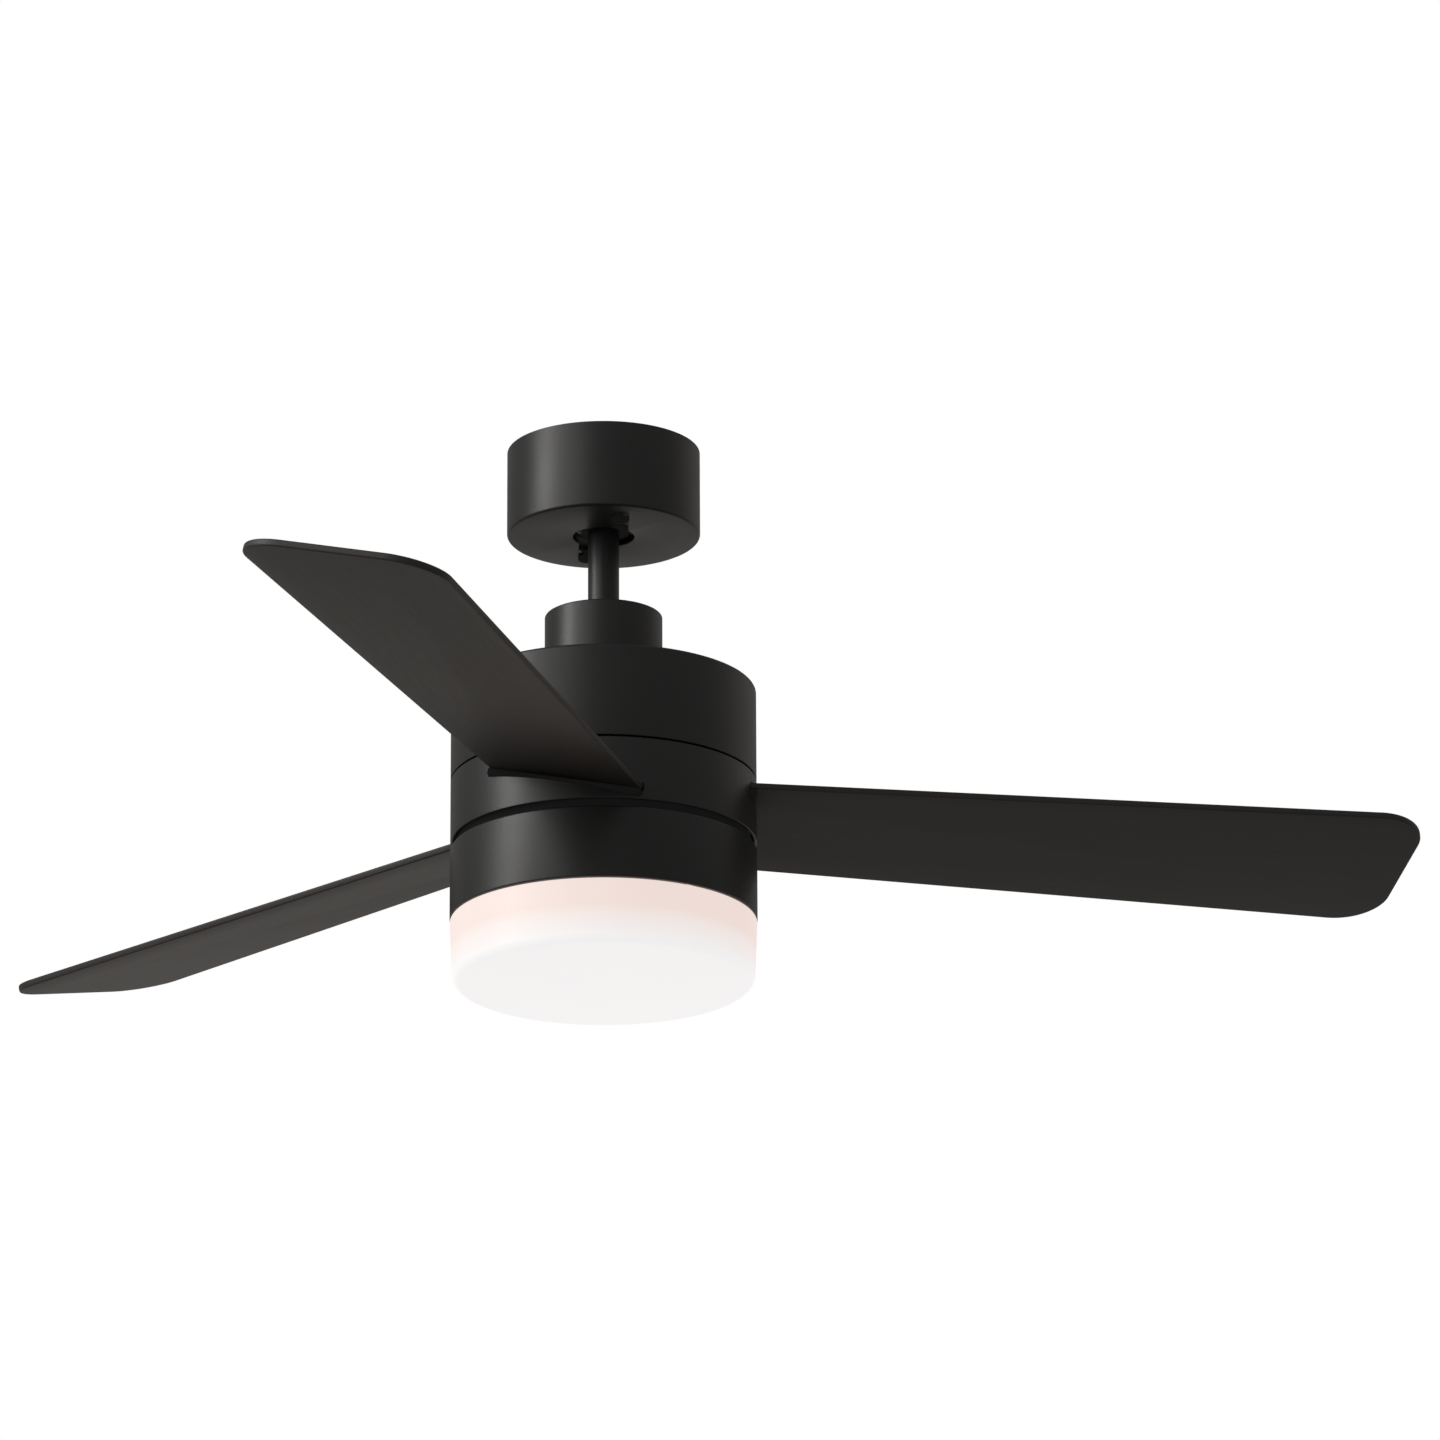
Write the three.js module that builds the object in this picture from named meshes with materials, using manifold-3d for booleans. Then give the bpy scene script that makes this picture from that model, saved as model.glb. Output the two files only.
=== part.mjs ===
// Three-blade ceiling fan with a light, hung from the ceiling on a short downrod.
// Millimetres, +Z up. The origin is on the fan's axis in the plane of the ceiling,
// so the whole fan hangs below z = 0.

import * as THREE from "three";
import { mergeVertices } from "three/addons/utils/BufferGeometryUtils.js";
import Module from "manifold-3d";

const wasm = await Module();
wasm.setup();

// ---------------------------------------------------------------- driving dimensions

const gap = 0.3; // left between pieces that touch

// heights of the outer casings, down from the ceiling
const canopyTop = -0.5;
const canopyBottom = -71.1;
const coverTop = -138.6;
const housingTop = -200.9;
const housingBottom = -275.8;
const bandTop = -277.3;
const bandBottom = -327.6;
const ringTop = -333.6;
const ringBottom = -391.2;
const glassBottom = -442.4;

// radii of the outer casings
const canopyRadius = 76.9;
const coverRadius = 46.7;
const bodyRadius = 120.7;
const glassBaseRadius = 118.6;
const sheet = 1.6; // wall of the pressed casings

// hanger
const ballCentre = -50;
const ballRadius = 27;
const ballScrewHeight = -55;
const boxScrewY = 44.45; // half the spacing of an outlet box's two screws
const socketTop = -63.6;
const socketRadius = 23.5;
const canopyHoleRadius = 24.5;
const canopySlot = { x: 13.5, y: 47, halfWidth: 6.3, end: 57, start: 12 };
const slotTooth = { y: 37, halfLength: 2, depth: 1.8 };
const slotBevel = 4;

// downrod and coupling
const rodRadius = 12.4;
const rodWall = 2;
const rodTop = -30;
const rodBottom = -188;
const crossPinHeight = -40;
const clevisPinHeight = -168;
const pinRadius = 3;
const pinHole = 3.3;
const couplingTop = -148;
const couplingRadius = 18;
const flangeRadius = 38;
const flangeTop = -196;
const housingScrewRadius = 30;
const housingScrewAngles = [30, 150, 270];
const setScrewHeight = -156;

// motor
const shaftRadius = 8.5;
const shaftBore = 5;
const shaftTop = -189.8;
const shaftBottom = -345;
const bearingRadius = 20;
const bearingWidth = 12;
const upperBearingTop = -216;
const lowerBearingTop = -266;
const rotorRadius = 82;
const rotorWall = 3.5;
const rotorTop = -213;
const rotorJoint = -245;
const rotorBottom = -280.7;
const stackTop = -236;
const stackBottom = -258;
const stackRadius = 72.8;
const teeth = 12;

// blades
const bladeIndexes = [0, 1, 2];
const bladeSpacing = 120;
const firstBladeAngle = 12.7;
const bladePitch = 13;
const bladePlane = -305.9; // where the underside's plane meets the fan's axis
const bladeThickness = 5.5;
const bladeRoot = 76;
const bladeTip = 658.1;
const bladeCorner = 40;
const trailing = { width: 65.7, slope: 0.028 }; // half widths at widthStation
const leading = { width: 63.0, slope: 0.042 };
const widthStation = 147;
const bladeHoles = [
  [84, -32],
  [84, 32],
  [99, 0],
];
const arm = { thickness: 5.2, corner: 4, start: 65, end: 110 }; // cast arm under each blade
const hub = { outer: 68, inner: 63, bottom: -327, bore: 26, floor: 6 };
const slotMargin = { ends: 1.2, above: 1.8, below: 0.6 };
const slotCorner = { open: 2.5, tight: 1.2 };
const bandWall = 2.4;
const webThickness = 1.8;

// light kit
const ringRadius = 120.9;
const panHole = 20;
const boardTop = -350.3;
const boardRadius = 98;
const bossRadius = 78;
const neckRadius = 111.9;
const neckTop = -380;
const collar = { outer: 116.8, inner: 114.8, top: -325.8 };
const lugAngle = 20; // the turn that frees the diffuser

// facets round the casings, the middle-sized pieces and the screws
const bodySides = 40;
const midSides = 20;
const screwSides = 6;

// ---------------------------------------------------------------- finishes

const finishes = {
  blackPaint: { color: 0x252423, roughness: 0.5, metalness: 0.1 },
  bladeBlack: { color: 0x322e2b, roughness: 0.6, metalness: 0 },
  opalGlass: { color: 0xf7f1ec, roughness: 0.35, metalness: 0 },
  zincSteel: { color: 0xa9acad, roughness: 0.35, metalness: 0.9 },
  darkSteel: { color: 0x3a3a3b, roughness: 0.45, metalness: 0.8 },
  castAluminium: { color: 0xb4b6b8, roughness: 0.5, metalness: 0.9 },
  laminatedSteel: { color: 0x6c6e72, roughness: 0.4, metalness: 0.9 },
  copperWire: { color: 0xb06a35, roughness: 0.35, metalness: 0.9 },
  ferrite: { color: 0x37373a, roughness: 0.7, metalness: 0.2 },
  blackPlastic: { color: 0x1e1e1f, roughness: 0.5, metalness: 0 },
  greyPlastic: { color: 0xd9d9d6, roughness: 0.5, metalness: 0 },
  leadSleeve: { color: 0x2a2a2b, roughness: 0.6, metalness: 0 },
  boardWhite: { color: 0xf2f2ee, roughness: 0.4, metalness: 0 },
};

// ---------------------------------------------------------------- building helpers

const radians = THREE.MathUtils.degToRad;

function toSolid(geometry) {
  const bare = geometry.index ? geometry.toNonIndexed() : geometry.clone();
  bare.deleteAttribute("normal");
  bare.deleteAttribute("uv");
  const merged = mergeVertices(bare, 1e-4);
  const vertProperties = merged.attributes.position.array;
  const triVerts = new Uint32Array(merged.index.array);
  return new wasm.Manifold(new wasm.Mesh({ numProp: 3, vertProperties, triVerts }));
}

function toGeometry(solid) {
  const mesh = solid.getMesh();
  const geometry = new THREE.BufferGeometry();
  geometry.setAttribute("position", new THREE.BufferAttribute(mesh.vertProperties, 3));
  geometry.setIndex(new THREE.BufferAttribute(mesh.triVerts, 1));
  geometry.computeVertexNormals();
  return geometry;
}

function join(base, ...added) {
  const whole = added.reduce((sum, piece) => sum.add(toSolid(piece)), toSolid(base));
  return toGeometry(whole);
}

function cut(base, ...tools) {
  const rest = tools.reduce((sum, tool) => sum.subtract(toSolid(tool)), toSolid(base));
  return toGeometry(rest);
}

function common(first, second) {
  return toGeometry(toSolid(first).intersect(toSolid(second)));
}

// A profile of [radius, height] points turned round the Z axis. A profile that stays
// off the axis is closed on itself; one that ends on the axis is closed by it.
function turned(profile, sides = midSides) {
  const points = profile.map(([r, z]) => new THREE.Vector2(r, z));
  if (THREE.ShapeUtils.area(points) < 0) points.reverse();
  if (points[0].x > 0) points.push(points[0].clone());
  return new THREE.LatheGeometry(points, sides).rotateX(Math.PI / 2);
}

function tubeProfile(outer, inner, top, bottom) {
  return [[outer, top], [outer, bottom], [inner, bottom], [inner, top]];
}

function arc(centreR, centreZ, radius, fromDegrees, toDegrees, steps) {
  return Array.from({ length: steps + 1 }, (_, i) => {
    const angle = radians(fromDegrees + ((toDegrees - fromDegrees) * i) / steps);
    return [centreR + radius * Math.cos(angle), centreZ + radius * Math.sin(angle)];
  });
}

function block([x0, x1], [y0, y1], [z0, z1]) {
  const box = new THREE.BoxGeometry(x1 - x0, y1 - y0, z1 - z0);
  return box.translate((x0 + x1) / 2, (y0 + y1) / 2, (z0 + z1) / 2);
}

function post(radius, [z0, z1], [x, y] = [0, 0], sides = 10) {
  const cylinder = new THREE.CylinderGeometry(radius, radius, z1 - z0, sides);
  return cylinder.rotateX(Math.PI / 2).translate(x, y, (z0 + z1) / 2);
}

function crossBar(radius, direction, [from, to], [x, y, z], sides = 10) {
  const bar = new THREE.CylinderGeometry(radius, radius, to - from, sides);
  bar.translate(0, (from + to) / 2, 0);
  if (direction === "x") bar.rotateZ(-Math.PI / 2);
  return bar.translate(x, y, z);
}

// An outline of [x, y] corners, raised from z = 0 to the height.
function extruded(outline, height) {
  const shape = new THREE.Shape(outline.map(([x, y]) => new THREE.Vector2(x, y)));
  return new THREE.ExtrudeGeometry(shape, { depth: height, bevelEnabled: false });
}

function around(radius, degrees) {
  return [radius * Math.cos(radians(degrees)), radius * Math.sin(radians(degrees))];
}

function lead(points, radius, steps) {
  const path = new THREE.CatmullRomCurve3(points.map((p) => new THREE.Vector3(...p)));
  const corners = new THREE.EllipseCurve(0, 0, radius, radius).getPoints(8);
  const section = new THREE.Shape(corners.slice(0, 8));
  return new THREE.ExtrudeGeometry(section, { extrudePath: path, steps });
}

// A pan-head screw that points down, with the underside of its head at z = 0.
function screw(headRadius, headHeight, shankRadius, length) {
  const profile = [
    [0, headHeight],
    [headRadius * 0.8, headHeight],
    [headRadius, 0],
    [shankRadius, 0],
    [shankRadius, -length],
    [0, -length],
  ];
  return turned(profile, screwSides);
}

function addPart(group, name, geometry, finish, [x, y, z] = [0, 0, 0]) {
  const mesh = new THREE.Mesh(geometry, new THREE.MeshStandardMaterial(finishes[finish]));
  mesh.name = name;
  mesh.position.set(x, y, z);
  group.add(mesh);
  return mesh;
}

function addGroup(parent) {
  const group = new THREE.Group();
  parent.add(group);
  return group;
}

const fan = new THREE.Group();
const ceilingMount = addGroup(fan);
const hungFan = addGroup(fan);
const rotor = addGroup(fan);
const lightKit = addGroup(fan);

// ---------------------------------------------------------------- ceiling mount

// A strap bolted flat to the ceiling, two arms, and a socket plate whose round seat
// holds the ball. The seat is open towards +X, so the ball can be hung in from the side.
function hangerBracket() {
  const plate = 2.5;
  const arm = { halfX: 15, inside: 36, outside: 36 + plate };
  const throat = { halfY: 14, end: 31 };
  const socketBottom = socketTop - plate;
  const through = [socketBottom - 1, socketTop + 1];
  const top = block([-22, 22], [-56, 56], [-plate, 0]);
  const arms = [-1, 1].map((side) => {
    const [near, far] = side > 0 ? [arm.inside, arm.outside] : [-arm.outside, -arm.inside];
    return block([-arm.halfX, arm.halfX], [near, far], [socketBottom, 0]);
  });
  const socketPlate = block([-30, 30], [-54, 54], [socketBottom, socketTop]);
  const seat = post(socketRadius, through, [0, 0], bodySides);
  const mouth = block([0, throat.end], [-throat.halfY, throat.halfY], through);
  const key = block([-26, -21], [-2, 2], [socketBottom, socketTop + 7]);
  const ceilingSlots = [-1, 1].map((side) =>
    block([-6, 6], [side * boxScrewY - 2.6, side * boxScrewY + 2.6], [-plate - 1, 1]));
  const screwHoles = [-1, 1].map((side) =>
    post(2.3, through, [-side * canopySlot.x, side * canopySlot.y]));
  const leadHole = block([-10, 10], [-26, 26], [-plate - 1, 1]);
  const cutPlate = cut(socketPlate, seat, mouth, ...screwHoles);
  return cut(join(top, ...arms, cutPlate, key), ...ceilingSlots, leadHole);
}

// A deep pressed cup, open at the ceiling, with a round hole for the rod and two
// slots that let it pass the heads of its screws. A small tooth narrows each slot.
function canopy() {
  const floor = canopyBottom;
  const shell = turned([
    [canopyRadius, canopyTop],
    ...arc(canopyRadius - 2, floor + 2, 2, 0, -90, 2),
    [canopyHoleRadius, floor],
    [canopyHoleRadius, floor + sheet],
    ...arc(canopyRadius - 2.4, floor + 2.4, 0.8, -90, 0, 1),
    [canopyRadius - sheet, canopyTop],
  ], bodySides);
  const inner = canopySlot.x - canopySlot.halfWidth;
  const outer = canopySlot.x + canopySlot.halfWidth;
  const slotOutline = [
    [inner, -canopySlot.start],
    [inner, slotBevel - canopySlot.end],
    [inner + slotBevel, -canopySlot.end],
    [outer - slotBevel, -canopySlot.end],
    [outer, slotBevel - canopySlot.end],
    [outer, -slotTooth.y - slotTooth.halfLength],
    [outer - slotTooth.depth, -slotTooth.y],
    [outer, -slotTooth.y + slotTooth.halfLength],
    [outer, -canopySlot.start],
  ];
  const slots = [0, Math.PI].map((turn) =>
    extruded(slotOutline, sheet * 4).translate(0, 0, floor - sheet).rotateZ(turn));
  return cut(shell, ...slots);
}

addPart(ceilingMount, "hanger_bracket", hangerBracket(), "blackPaint");
addPart(ceilingMount, "canopy", canopy(), "blackPaint");
[-1, 1].forEach((side, i) => {
  const place = [-side * canopySlot.x, side * canopySlot.y, canopyBottom - gap];
  const canopyScrew = screw(7, 3.4, 2, 10).rotateX(Math.PI);
  addPart(ceilingMount, `canopy_screw_${i + 1}`, canopyScrew, "darkSteel", place);
});

const receiver = { x: 48, y: 19, top: -2.9, bottom: -19.5 };
addPart(ceilingMount, "remote_receiver",
  block([-receiver.x, receiver.x], [-receiver.y, receiver.y], [receiver.bottom, receiver.top]),
  "blackPlastic");

// Leads inside the canopy: one bundle from the top of the rod round to the receiver,
// and one from the receiver's other end, which divides between two wire connectors.
const leadLoop = [
  [2, 0, -25], [14, 3, -25], [34, 8, -25.5], [50, 8, -27],
  [60, 4, -21], [59, 0, -12.5], [52, 0, -11], [receiver.x + 1, 0, -11],
];
addPart(ceilingMount, "receiver_leads", lead(leadLoop, 2.4, 20), "leadSleeve");

const connectorTip = [-58, 14, -34];
const supplyLead = [
  [-receiver.x - 1, 0, -11], [-51, 0, -11], [-60, 6, -12],
  [-60, 13, -19], [-58, 14, -24], [-58, 14, -26.8],
];
addPart(ceilingMount, "supply_leads", lead(supplyLead, 2.2, 14), "leadSleeve");
const connectorProfile = [[0, 6.5], [4.6, 6.5], [5.2, 4], [3.4, -10], [2, -12], [0, -12]];
addPart(ceilingMount, "wire_connector", turned(connectorProfile, 10), "blackPlastic", connectorTip);

// ---------------------------------------------------------------- ball, rod and coupling

function hangerBall() {
  const top = 18;
  const bottom = -17;
  const start = THREE.MathUtils.radToDeg(Math.asin(bottom / ballRadius));
  const end = THREE.MathUtils.radToDeg(Math.asin(top / ballRadius));
  const outer = arc(0, ballCentre, ballRadius, start, end, 6);
  const bore = rodRadius + gap;
  const ball = turned([...outer, [bore, ballCentre + top], [bore, ballCentre + bottom]], 28);
  const pinGroove = block([-3.4, 3.4], [-19, 19], [crossPinHeight - 3.4, ballCentre + top + 1]);
  const keyGroove = block([-ballRadius - 1, -17.5], [-2.8, 2.8], [ballCentre - 20, ballCentre + 20]);
  const screwHole = crossBar(2.3, "x", [rodRadius, ballRadius + 1], [0, 0, ballScrewHeight]);
  return cut(ball, pinGroove, keyGroove, screwHole);
}

addPart(hungFan, "hanger_ball", hangerBall(), "blackPlastic");
addPart(hungFan, "ball_cross_pin",
  crossBar(pinRadius, "y", [-18.5, 18.5], [0, 0, crossPinHeight]), "zincSteel");
addPart(hungFan, "ball_set_screw",
  crossBar(2, "x", [rodRadius + gap, 22], [0, 0, ballScrewHeight], screwSides), "darkSteel");

const rodTube = turned(tubeProfile(rodRadius, rodRadius - rodWall, rodTop, rodBottom));
addPart(hungFan, "downrod", cut(rodTube,
  crossBar(pinHole, "y", [-20, 20], [0, 0, crossPinHeight]),
  crossBar(pinHole, "x", [-20, 20], [0, 0, clevisPinHeight])), "blackPaint");

// The motor's leads run down beside the two pins, through the hollow shaft and across
// to the driver of the light.
const downLead = [
  [6.4, 0, -31], [6.4, 0, -46], [5, 2.5, -75], [2, 5.5, -110], [0, 6.6, -150],
  [0, 6.6, -174], [0, 2.5, -184], [0, 0.3, -192], [0, 0, -215], [0, 0, -280],
  [0, 0, -335], [0, 0.5, -345], [0, 5, -350], [0, 14, -350], [0, 25, -344.5],
  [0, 34, -343], [0, 41.6, -343],
];
addPart(hungFan, "fan_leads", lead(downLead, 2.3, 44), "leadSleeve");

function motorCoupling() {
  const rodBore = rodRadius + gap;
  const shaftHole = shaftRadius + gap;
  const seatHeight = shaftTop + gap;
  const flangeBottom = housingTop + gap;
  const body = turned([
    [couplingRadius, couplingTop],
    [couplingRadius, flangeTop],
    [flangeRadius, flangeTop],
    [flangeRadius, flangeBottom],
    [shaftHole, flangeBottom],
    [shaftHole, seatHeight],
    [rodBore, seatHeight],
    [rodBore, couplingTop],
  ]);
  const pinHoles = crossBar(pinHole, "x", [-20, 20], [0, 0, clevisPinHeight]);
  const setHoles = crossBar(2.8, "y", [-20, 20], [0, 0, setScrewHeight]);
  const flangeHoles = housingScrewAngles.map((angle) =>
    post(2.6, [flangeBottom - 1, flangeTop + 1], around(housingScrewRadius, angle)));
  return cut(body, pinHoles, setHoles, ...flangeHoles);
}

addPart(hungFan, "motor_coupling", motorCoupling(), "zincSteel");

// The clevis pin carries the motor on the rod; a hairpin clip through its end locks it.
const clipX = 22;
const clevisPin = join(
  crossBar(pinRadius, "x", [-19, 25], [0, 0, clevisPinHeight]),
  crossBar(4.8, "x", [-21.3, -couplingRadius - gap], [0, 0, clevisPinHeight]));
const clipHole = post(1.2, [clevisPinHeight - 5, clevisPinHeight + 5], [clipX, 0], 8);
addPart(hungFan, "clevis_pin", cut(clevisPin, clipHole), "zincSteel");

const clipPath = [
  [0, -11], [0, 0], [0, 8], [1.2, 11.5], [3.6, 12],
  [5.4, 9], [5, 4], [4.3, 0], [5.6, -5], [7, -9],
];
addPart(hungFan, "hairpin_clip",
  lead(clipPath.map(([y, z]) => [clipX, y, clevisPinHeight + z]), 0.8, 20), "zincSteel");

[-1, 1].forEach((side, i) => {
  const reach = [rodRadius + gap, 22];
  const span = side > 0 ? reach : [-reach[1], -reach[0]];
  addPart(hungFan, `coupling_set_screw_${i + 1}`,
    crossBar(2.5, "y", span, [0, 0, setScrewHeight], screwSides), "darkSteel");
});

// The cover slides up the rod to reach the coupling, and rests on the motor housing.
const couplingCover = turned([
  ...arc(coverRadius - 1.2, coverTop - 1.2, 1.2, 90, 0, 2),
  [coverRadius, housingTop + gap],
  [coverRadius - sheet, housingTop + gap],
  [coverRadius - sheet, coverTop - sheet],
  [rodRadius + 0.8, coverTop - sheet],
  [rodRadius + 0.8, coverTop],
], bodySides);
addPart(fan, "coupling_cover", couplingCover, "blackPaint");

// ---------------------------------------------------------------- motor housing

function upperHousing() {
  const shell = turned([
    [11, housingTop],
    ...arc(bodyRadius - 2.5, housingTop - 2.5, 2.5, 90, 0, 2),
    [bodyRadius, housingBottom],
    [bodyRadius - sheet, housingBottom],
    ...arc(bodyRadius - 3, housingTop - 3, 1.4, 0, 90, 1),
    [11, housingTop - sheet],
  ], bodySides);
  const holes = housingScrewAngles.map((angle) =>
    post(2.6, [housingTop - 3, housingTop + 1], around(housingScrewRadius, angle)));
  return cut(shell, ...holes);
}

addPart(hungFan, "upper_housing", upperHousing(), "blackPaint");
housingScrewAngles.forEach((angle, i) => {
  const place = [...around(housingScrewRadius, angle), flangeTop + gap];
  addPart(hungFan, `housing_screw_${i + 1}`, screw(4.4, 2.8, 2.2, 11), "zincSteel", place);
});

// ---------------------------------------------------------------- motor

addPart(hungFan, "motor_shaft",
  turned(tubeProfile(shaftRadius, shaftBore, shaftTop, shaftBottom), midSides), "zincSteel");

// Twelve teeth on a ring; each ends in a wide shoe that faces the magnets.
function statorCore() {
  const root = 36;
  const shoe = 67;
  const toothHalf = 5;
  const shoeHalfAngle = 12.5;
  const rootHalfAngle = THREE.MathUtils.radToDeg(Math.asin(toothHalf / root));
  const neckHalfAngle = THREE.MathUtils.radToDeg(Math.asin(toothHalf / shoe));
  const tooth = [
    [root, -rootHalfAngle], [shoe, -neckHalfAngle], [shoe + 1.5, -shoeHalfAngle],
    [stackRadius, -shoeHalfAngle], [stackRadius, 0], [stackRadius, shoeHalfAngle],
    [shoe + 1.5, shoeHalfAngle], [shoe, neckHalfAngle], [root, rootHalfAngle],
  ];
  const turns = Array.from({ length: teeth }, (_, i) => (360 / teeth) * i);
  const outline = turns.flatMap((turn) => tooth.map(([r, angle]) => around(r, turn + angle)));
  const depth = stackTop - stackBottom;
  const core = extruded(outline, depth);
  const bore = post(shaftRadius + gap, [-1, depth + 1], [0, 0], midSides);
  return cut(core, bore).translate(0, 0, stackBottom);
}

// The coils fill the slots between the teeth and turn over the ends of the stack.
function statorWindings() {
  const endTurn = 6;
  const top = stackTop + endTurn;
  const bottom = stackBottom - endTurn;
  const upper = turned(tubeProfile(64, 39, top, stackTop + gap), 24);
  const lower = turned(tubeProfile(64, 39, stackBottom - gap, bottom), 24);
  const slotFill = [[42, -4.2], [62, -9.4], [62, 9.4], [42, 4.2]];
  const bars = Array.from({ length: teeth }, (_, i) => {
    const turn = radians((360 / teeth) * (i + 0.5));
    return extruded(slotFill, top - bottom - 1).translate(0, 0, bottom + 0.5).rotateZ(turn);
  });
  return join(upper, lower, ...bars);
}

addPart(hungFan, "stator_core", statorCore(), "laminatedSteel");
addPart(hungFan, "stator_windings", statorWindings(), "copperWire");

const bearingProfile = (top) =>
  tubeProfile(bearingRadius, shaftRadius + gap, top, top - bearingWidth);
addPart(rotor, "upper_bearing", turned(bearingProfile(upperBearingTop)), "zincSteel");
addPart(rotor, "lower_bearing", turned(bearingProfile(lowerBearingTop)), "zincSteel");

// Two cast caps close the rotor. Each has a pocket for its bearing, and the upper one
// also takes the ring of magnets.
const pocket = bearingRadius + gap;
const capInner = rotorRadius - rotorWall;
addPart(rotor, "rotor_top_cap", turned([
  [13, rotorTop],
  ...arc(rotorRadius - 6, rotorTop - 6, 6, 90, 0, 2),
  [rotorRadius, rotorJoint],
  [capInner, rotorJoint],
  [capInner, rotorTop - 8],
  [capInner - 5, rotorTop - rotorWall],
  [pocket + 4, rotorTop - rotorWall],
  [pocket + 4, upperBearingTop - bearingWidth],
  [pocket, upperBearingTop - bearingWidth],
  [pocket, upperBearingTop + gap],
  [13, upperBearingTop + gap],
], 30), "castAluminium");

const carrierScrews = [0, 120, 240].map((angle) => angle + firstBladeAngle);
const carrierScrewRadius = 46;
const bottomCap = turned([
  [capInner, rotorJoint - gap],
  [rotorRadius, rotorJoint - gap],
  [rotorRadius, rotorBottom + 5],
  [rotorRadius - 5, rotorBottom],
  [13, rotorBottom],
  [13, lowerBearingTop - bearingWidth - gap],
  [pocket, lowerBearingTop - bearingWidth - gap],
  [pocket, lowerBearingTop],
  [pocket + 4, lowerBearingTop],
  [pocket + 4, rotorBottom + rotorWall],
  [capInner - 5, rotorBottom + rotorWall],
  [capInner, rotorBottom + 8],
], 30);
const capHoles = carrierScrews.map((angle) =>
  post(2.4, [rotorBottom - 1, rotorBottom + 5], around(carrierScrewRadius, angle)));
addPart(rotor, "rotor_bottom_cap", cut(bottomCap, ...capHoles), "castAluminium");
addPart(rotor, "magnet_ring",
  turned(tubeProfile(capInner - gap, stackRadius + 1, stackTop + 3, stackBottom - 3), 30), "ferrite");

// ---------------------------------------------------------------- blades and their band

// The blades' own frame: X runs out along the blade, Y across it, Z up through its
// thickness, turned about X so that the edge at +Y is the lower one.
function atBlade(geometry, index) {
  geometry.rotateX(radians(-bladePitch));
  geometry.translate(0, 0, bladePlane);
  return geometry.rotateZ(radians(firstBladeAngle + bladeSpacing * index));
}

function halfWidth(side, station) {
  return side.width + side.slope * (station - widthStation);
}

// A paddle whose straight sides widen slowly outwards, with rounded corners at the tip.
function bladeOutline() {
  const bevel = 8;
  const rootDown = -halfWidth(leading, bladeRoot);
  const rootUp = halfWidth(trailing, bladeRoot);
  const cornerX = bladeTip - bladeCorner;
  const cornerDown = bladeCorner - halfWidth(leading, cornerX);
  const cornerUp = halfWidth(trailing, cornerX) - bladeCorner;
  const outline = [
    [bladeRoot, rootDown + bevel],
    [bladeRoot + bevel, rootDown],
    ...arc(cornerX, cornerDown, bladeCorner, -90, 0, 6),
    ...arc(cornerX, cornerUp, bladeCorner, 0, 90, 6),
    [bladeRoot + bevel, rootUp],
    [bladeRoot, rootUp - bevel],
  ];
  const shape = new THREE.Shape(outline.map(([x, y]) => new THREE.Vector2(x, y)));
  bladeHoles.forEach(([x, y]) => {
    const hole = new THREE.Path();
    hole.absarc(x, y, 2.5, 0, Math.PI * 2, true);
    shape.holes.push(hole);
  });
  return shape;
}

const bladeShape = bladeOutline();
const bladeSettings = { depth: bladeThickness, bevelEnabled: false, curveSegments: 3 };

// The widths of a blade on its two sides where it passes through the wall of the band.
const wallStation = bodyRadius - 15;
const wallWidth = [-halfWidth(leading, wallStation), halfWidth(trailing, wallStation)];

// A bar along the blade with its section given across the blade.
function barAlong(section, start, end) {
  const bar = extruded(section, end - start);
  return bar.rotateX(Math.PI / 2).rotateZ(Math.PI / 2).translate(start, 0, 0);
}

// A bar through the wall of the band, which cuts the opening for a blade and its arm.
function slotBar() {
  const top = bladeThickness + slotMargin.above;
  const bottom = -arm.thickness - gap - slotMargin.below;
  const y0 = wallWidth[0] - slotMargin.ends;
  const y1 = wallWidth[1] + slotMargin.ends;
  const { open, tight } = slotCorner;
  const section = [
    [y0 + tight, bottom], [y1 - open, bottom], [y1, bottom + open], [y1, top - open],
    [y1 - open, top], [y0 + open, top], [y0, top - open], [y0, bottom + tight],
  ];
  return barAlong(section, bodyRadius - 30, bodyRadius + 20);
}

// The band turns with the blades. A web inside it is clamped under the rotor.
function bladeBand() {
  const webTop = rotorBottom - gap;
  const webBottom = webTop - webThickness;
  const inner = bodyRadius - bandWall;
  const body = turned([
    [bodyRadius, bandTop], [bodyRadius, bandBottom], [inner, bandBottom], [inner, webBottom],
    [28, webBottom], [28, webTop], [inner, webTop], [inner, bandTop],
  ], bodySides);
  const openings = bladeIndexes.map((i) => atBlade(slotBar(), i));
  const webHoles = carrierScrews.map((angle) =>
    post(2.4, [webBottom - 1, webTop + 1], around(carrierScrewRadius, angle)));
  return cut(body, ...openings, ...webHoles);
}

addPart(rotor, "blade_band", bladeBand(), "blackPaint");

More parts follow.
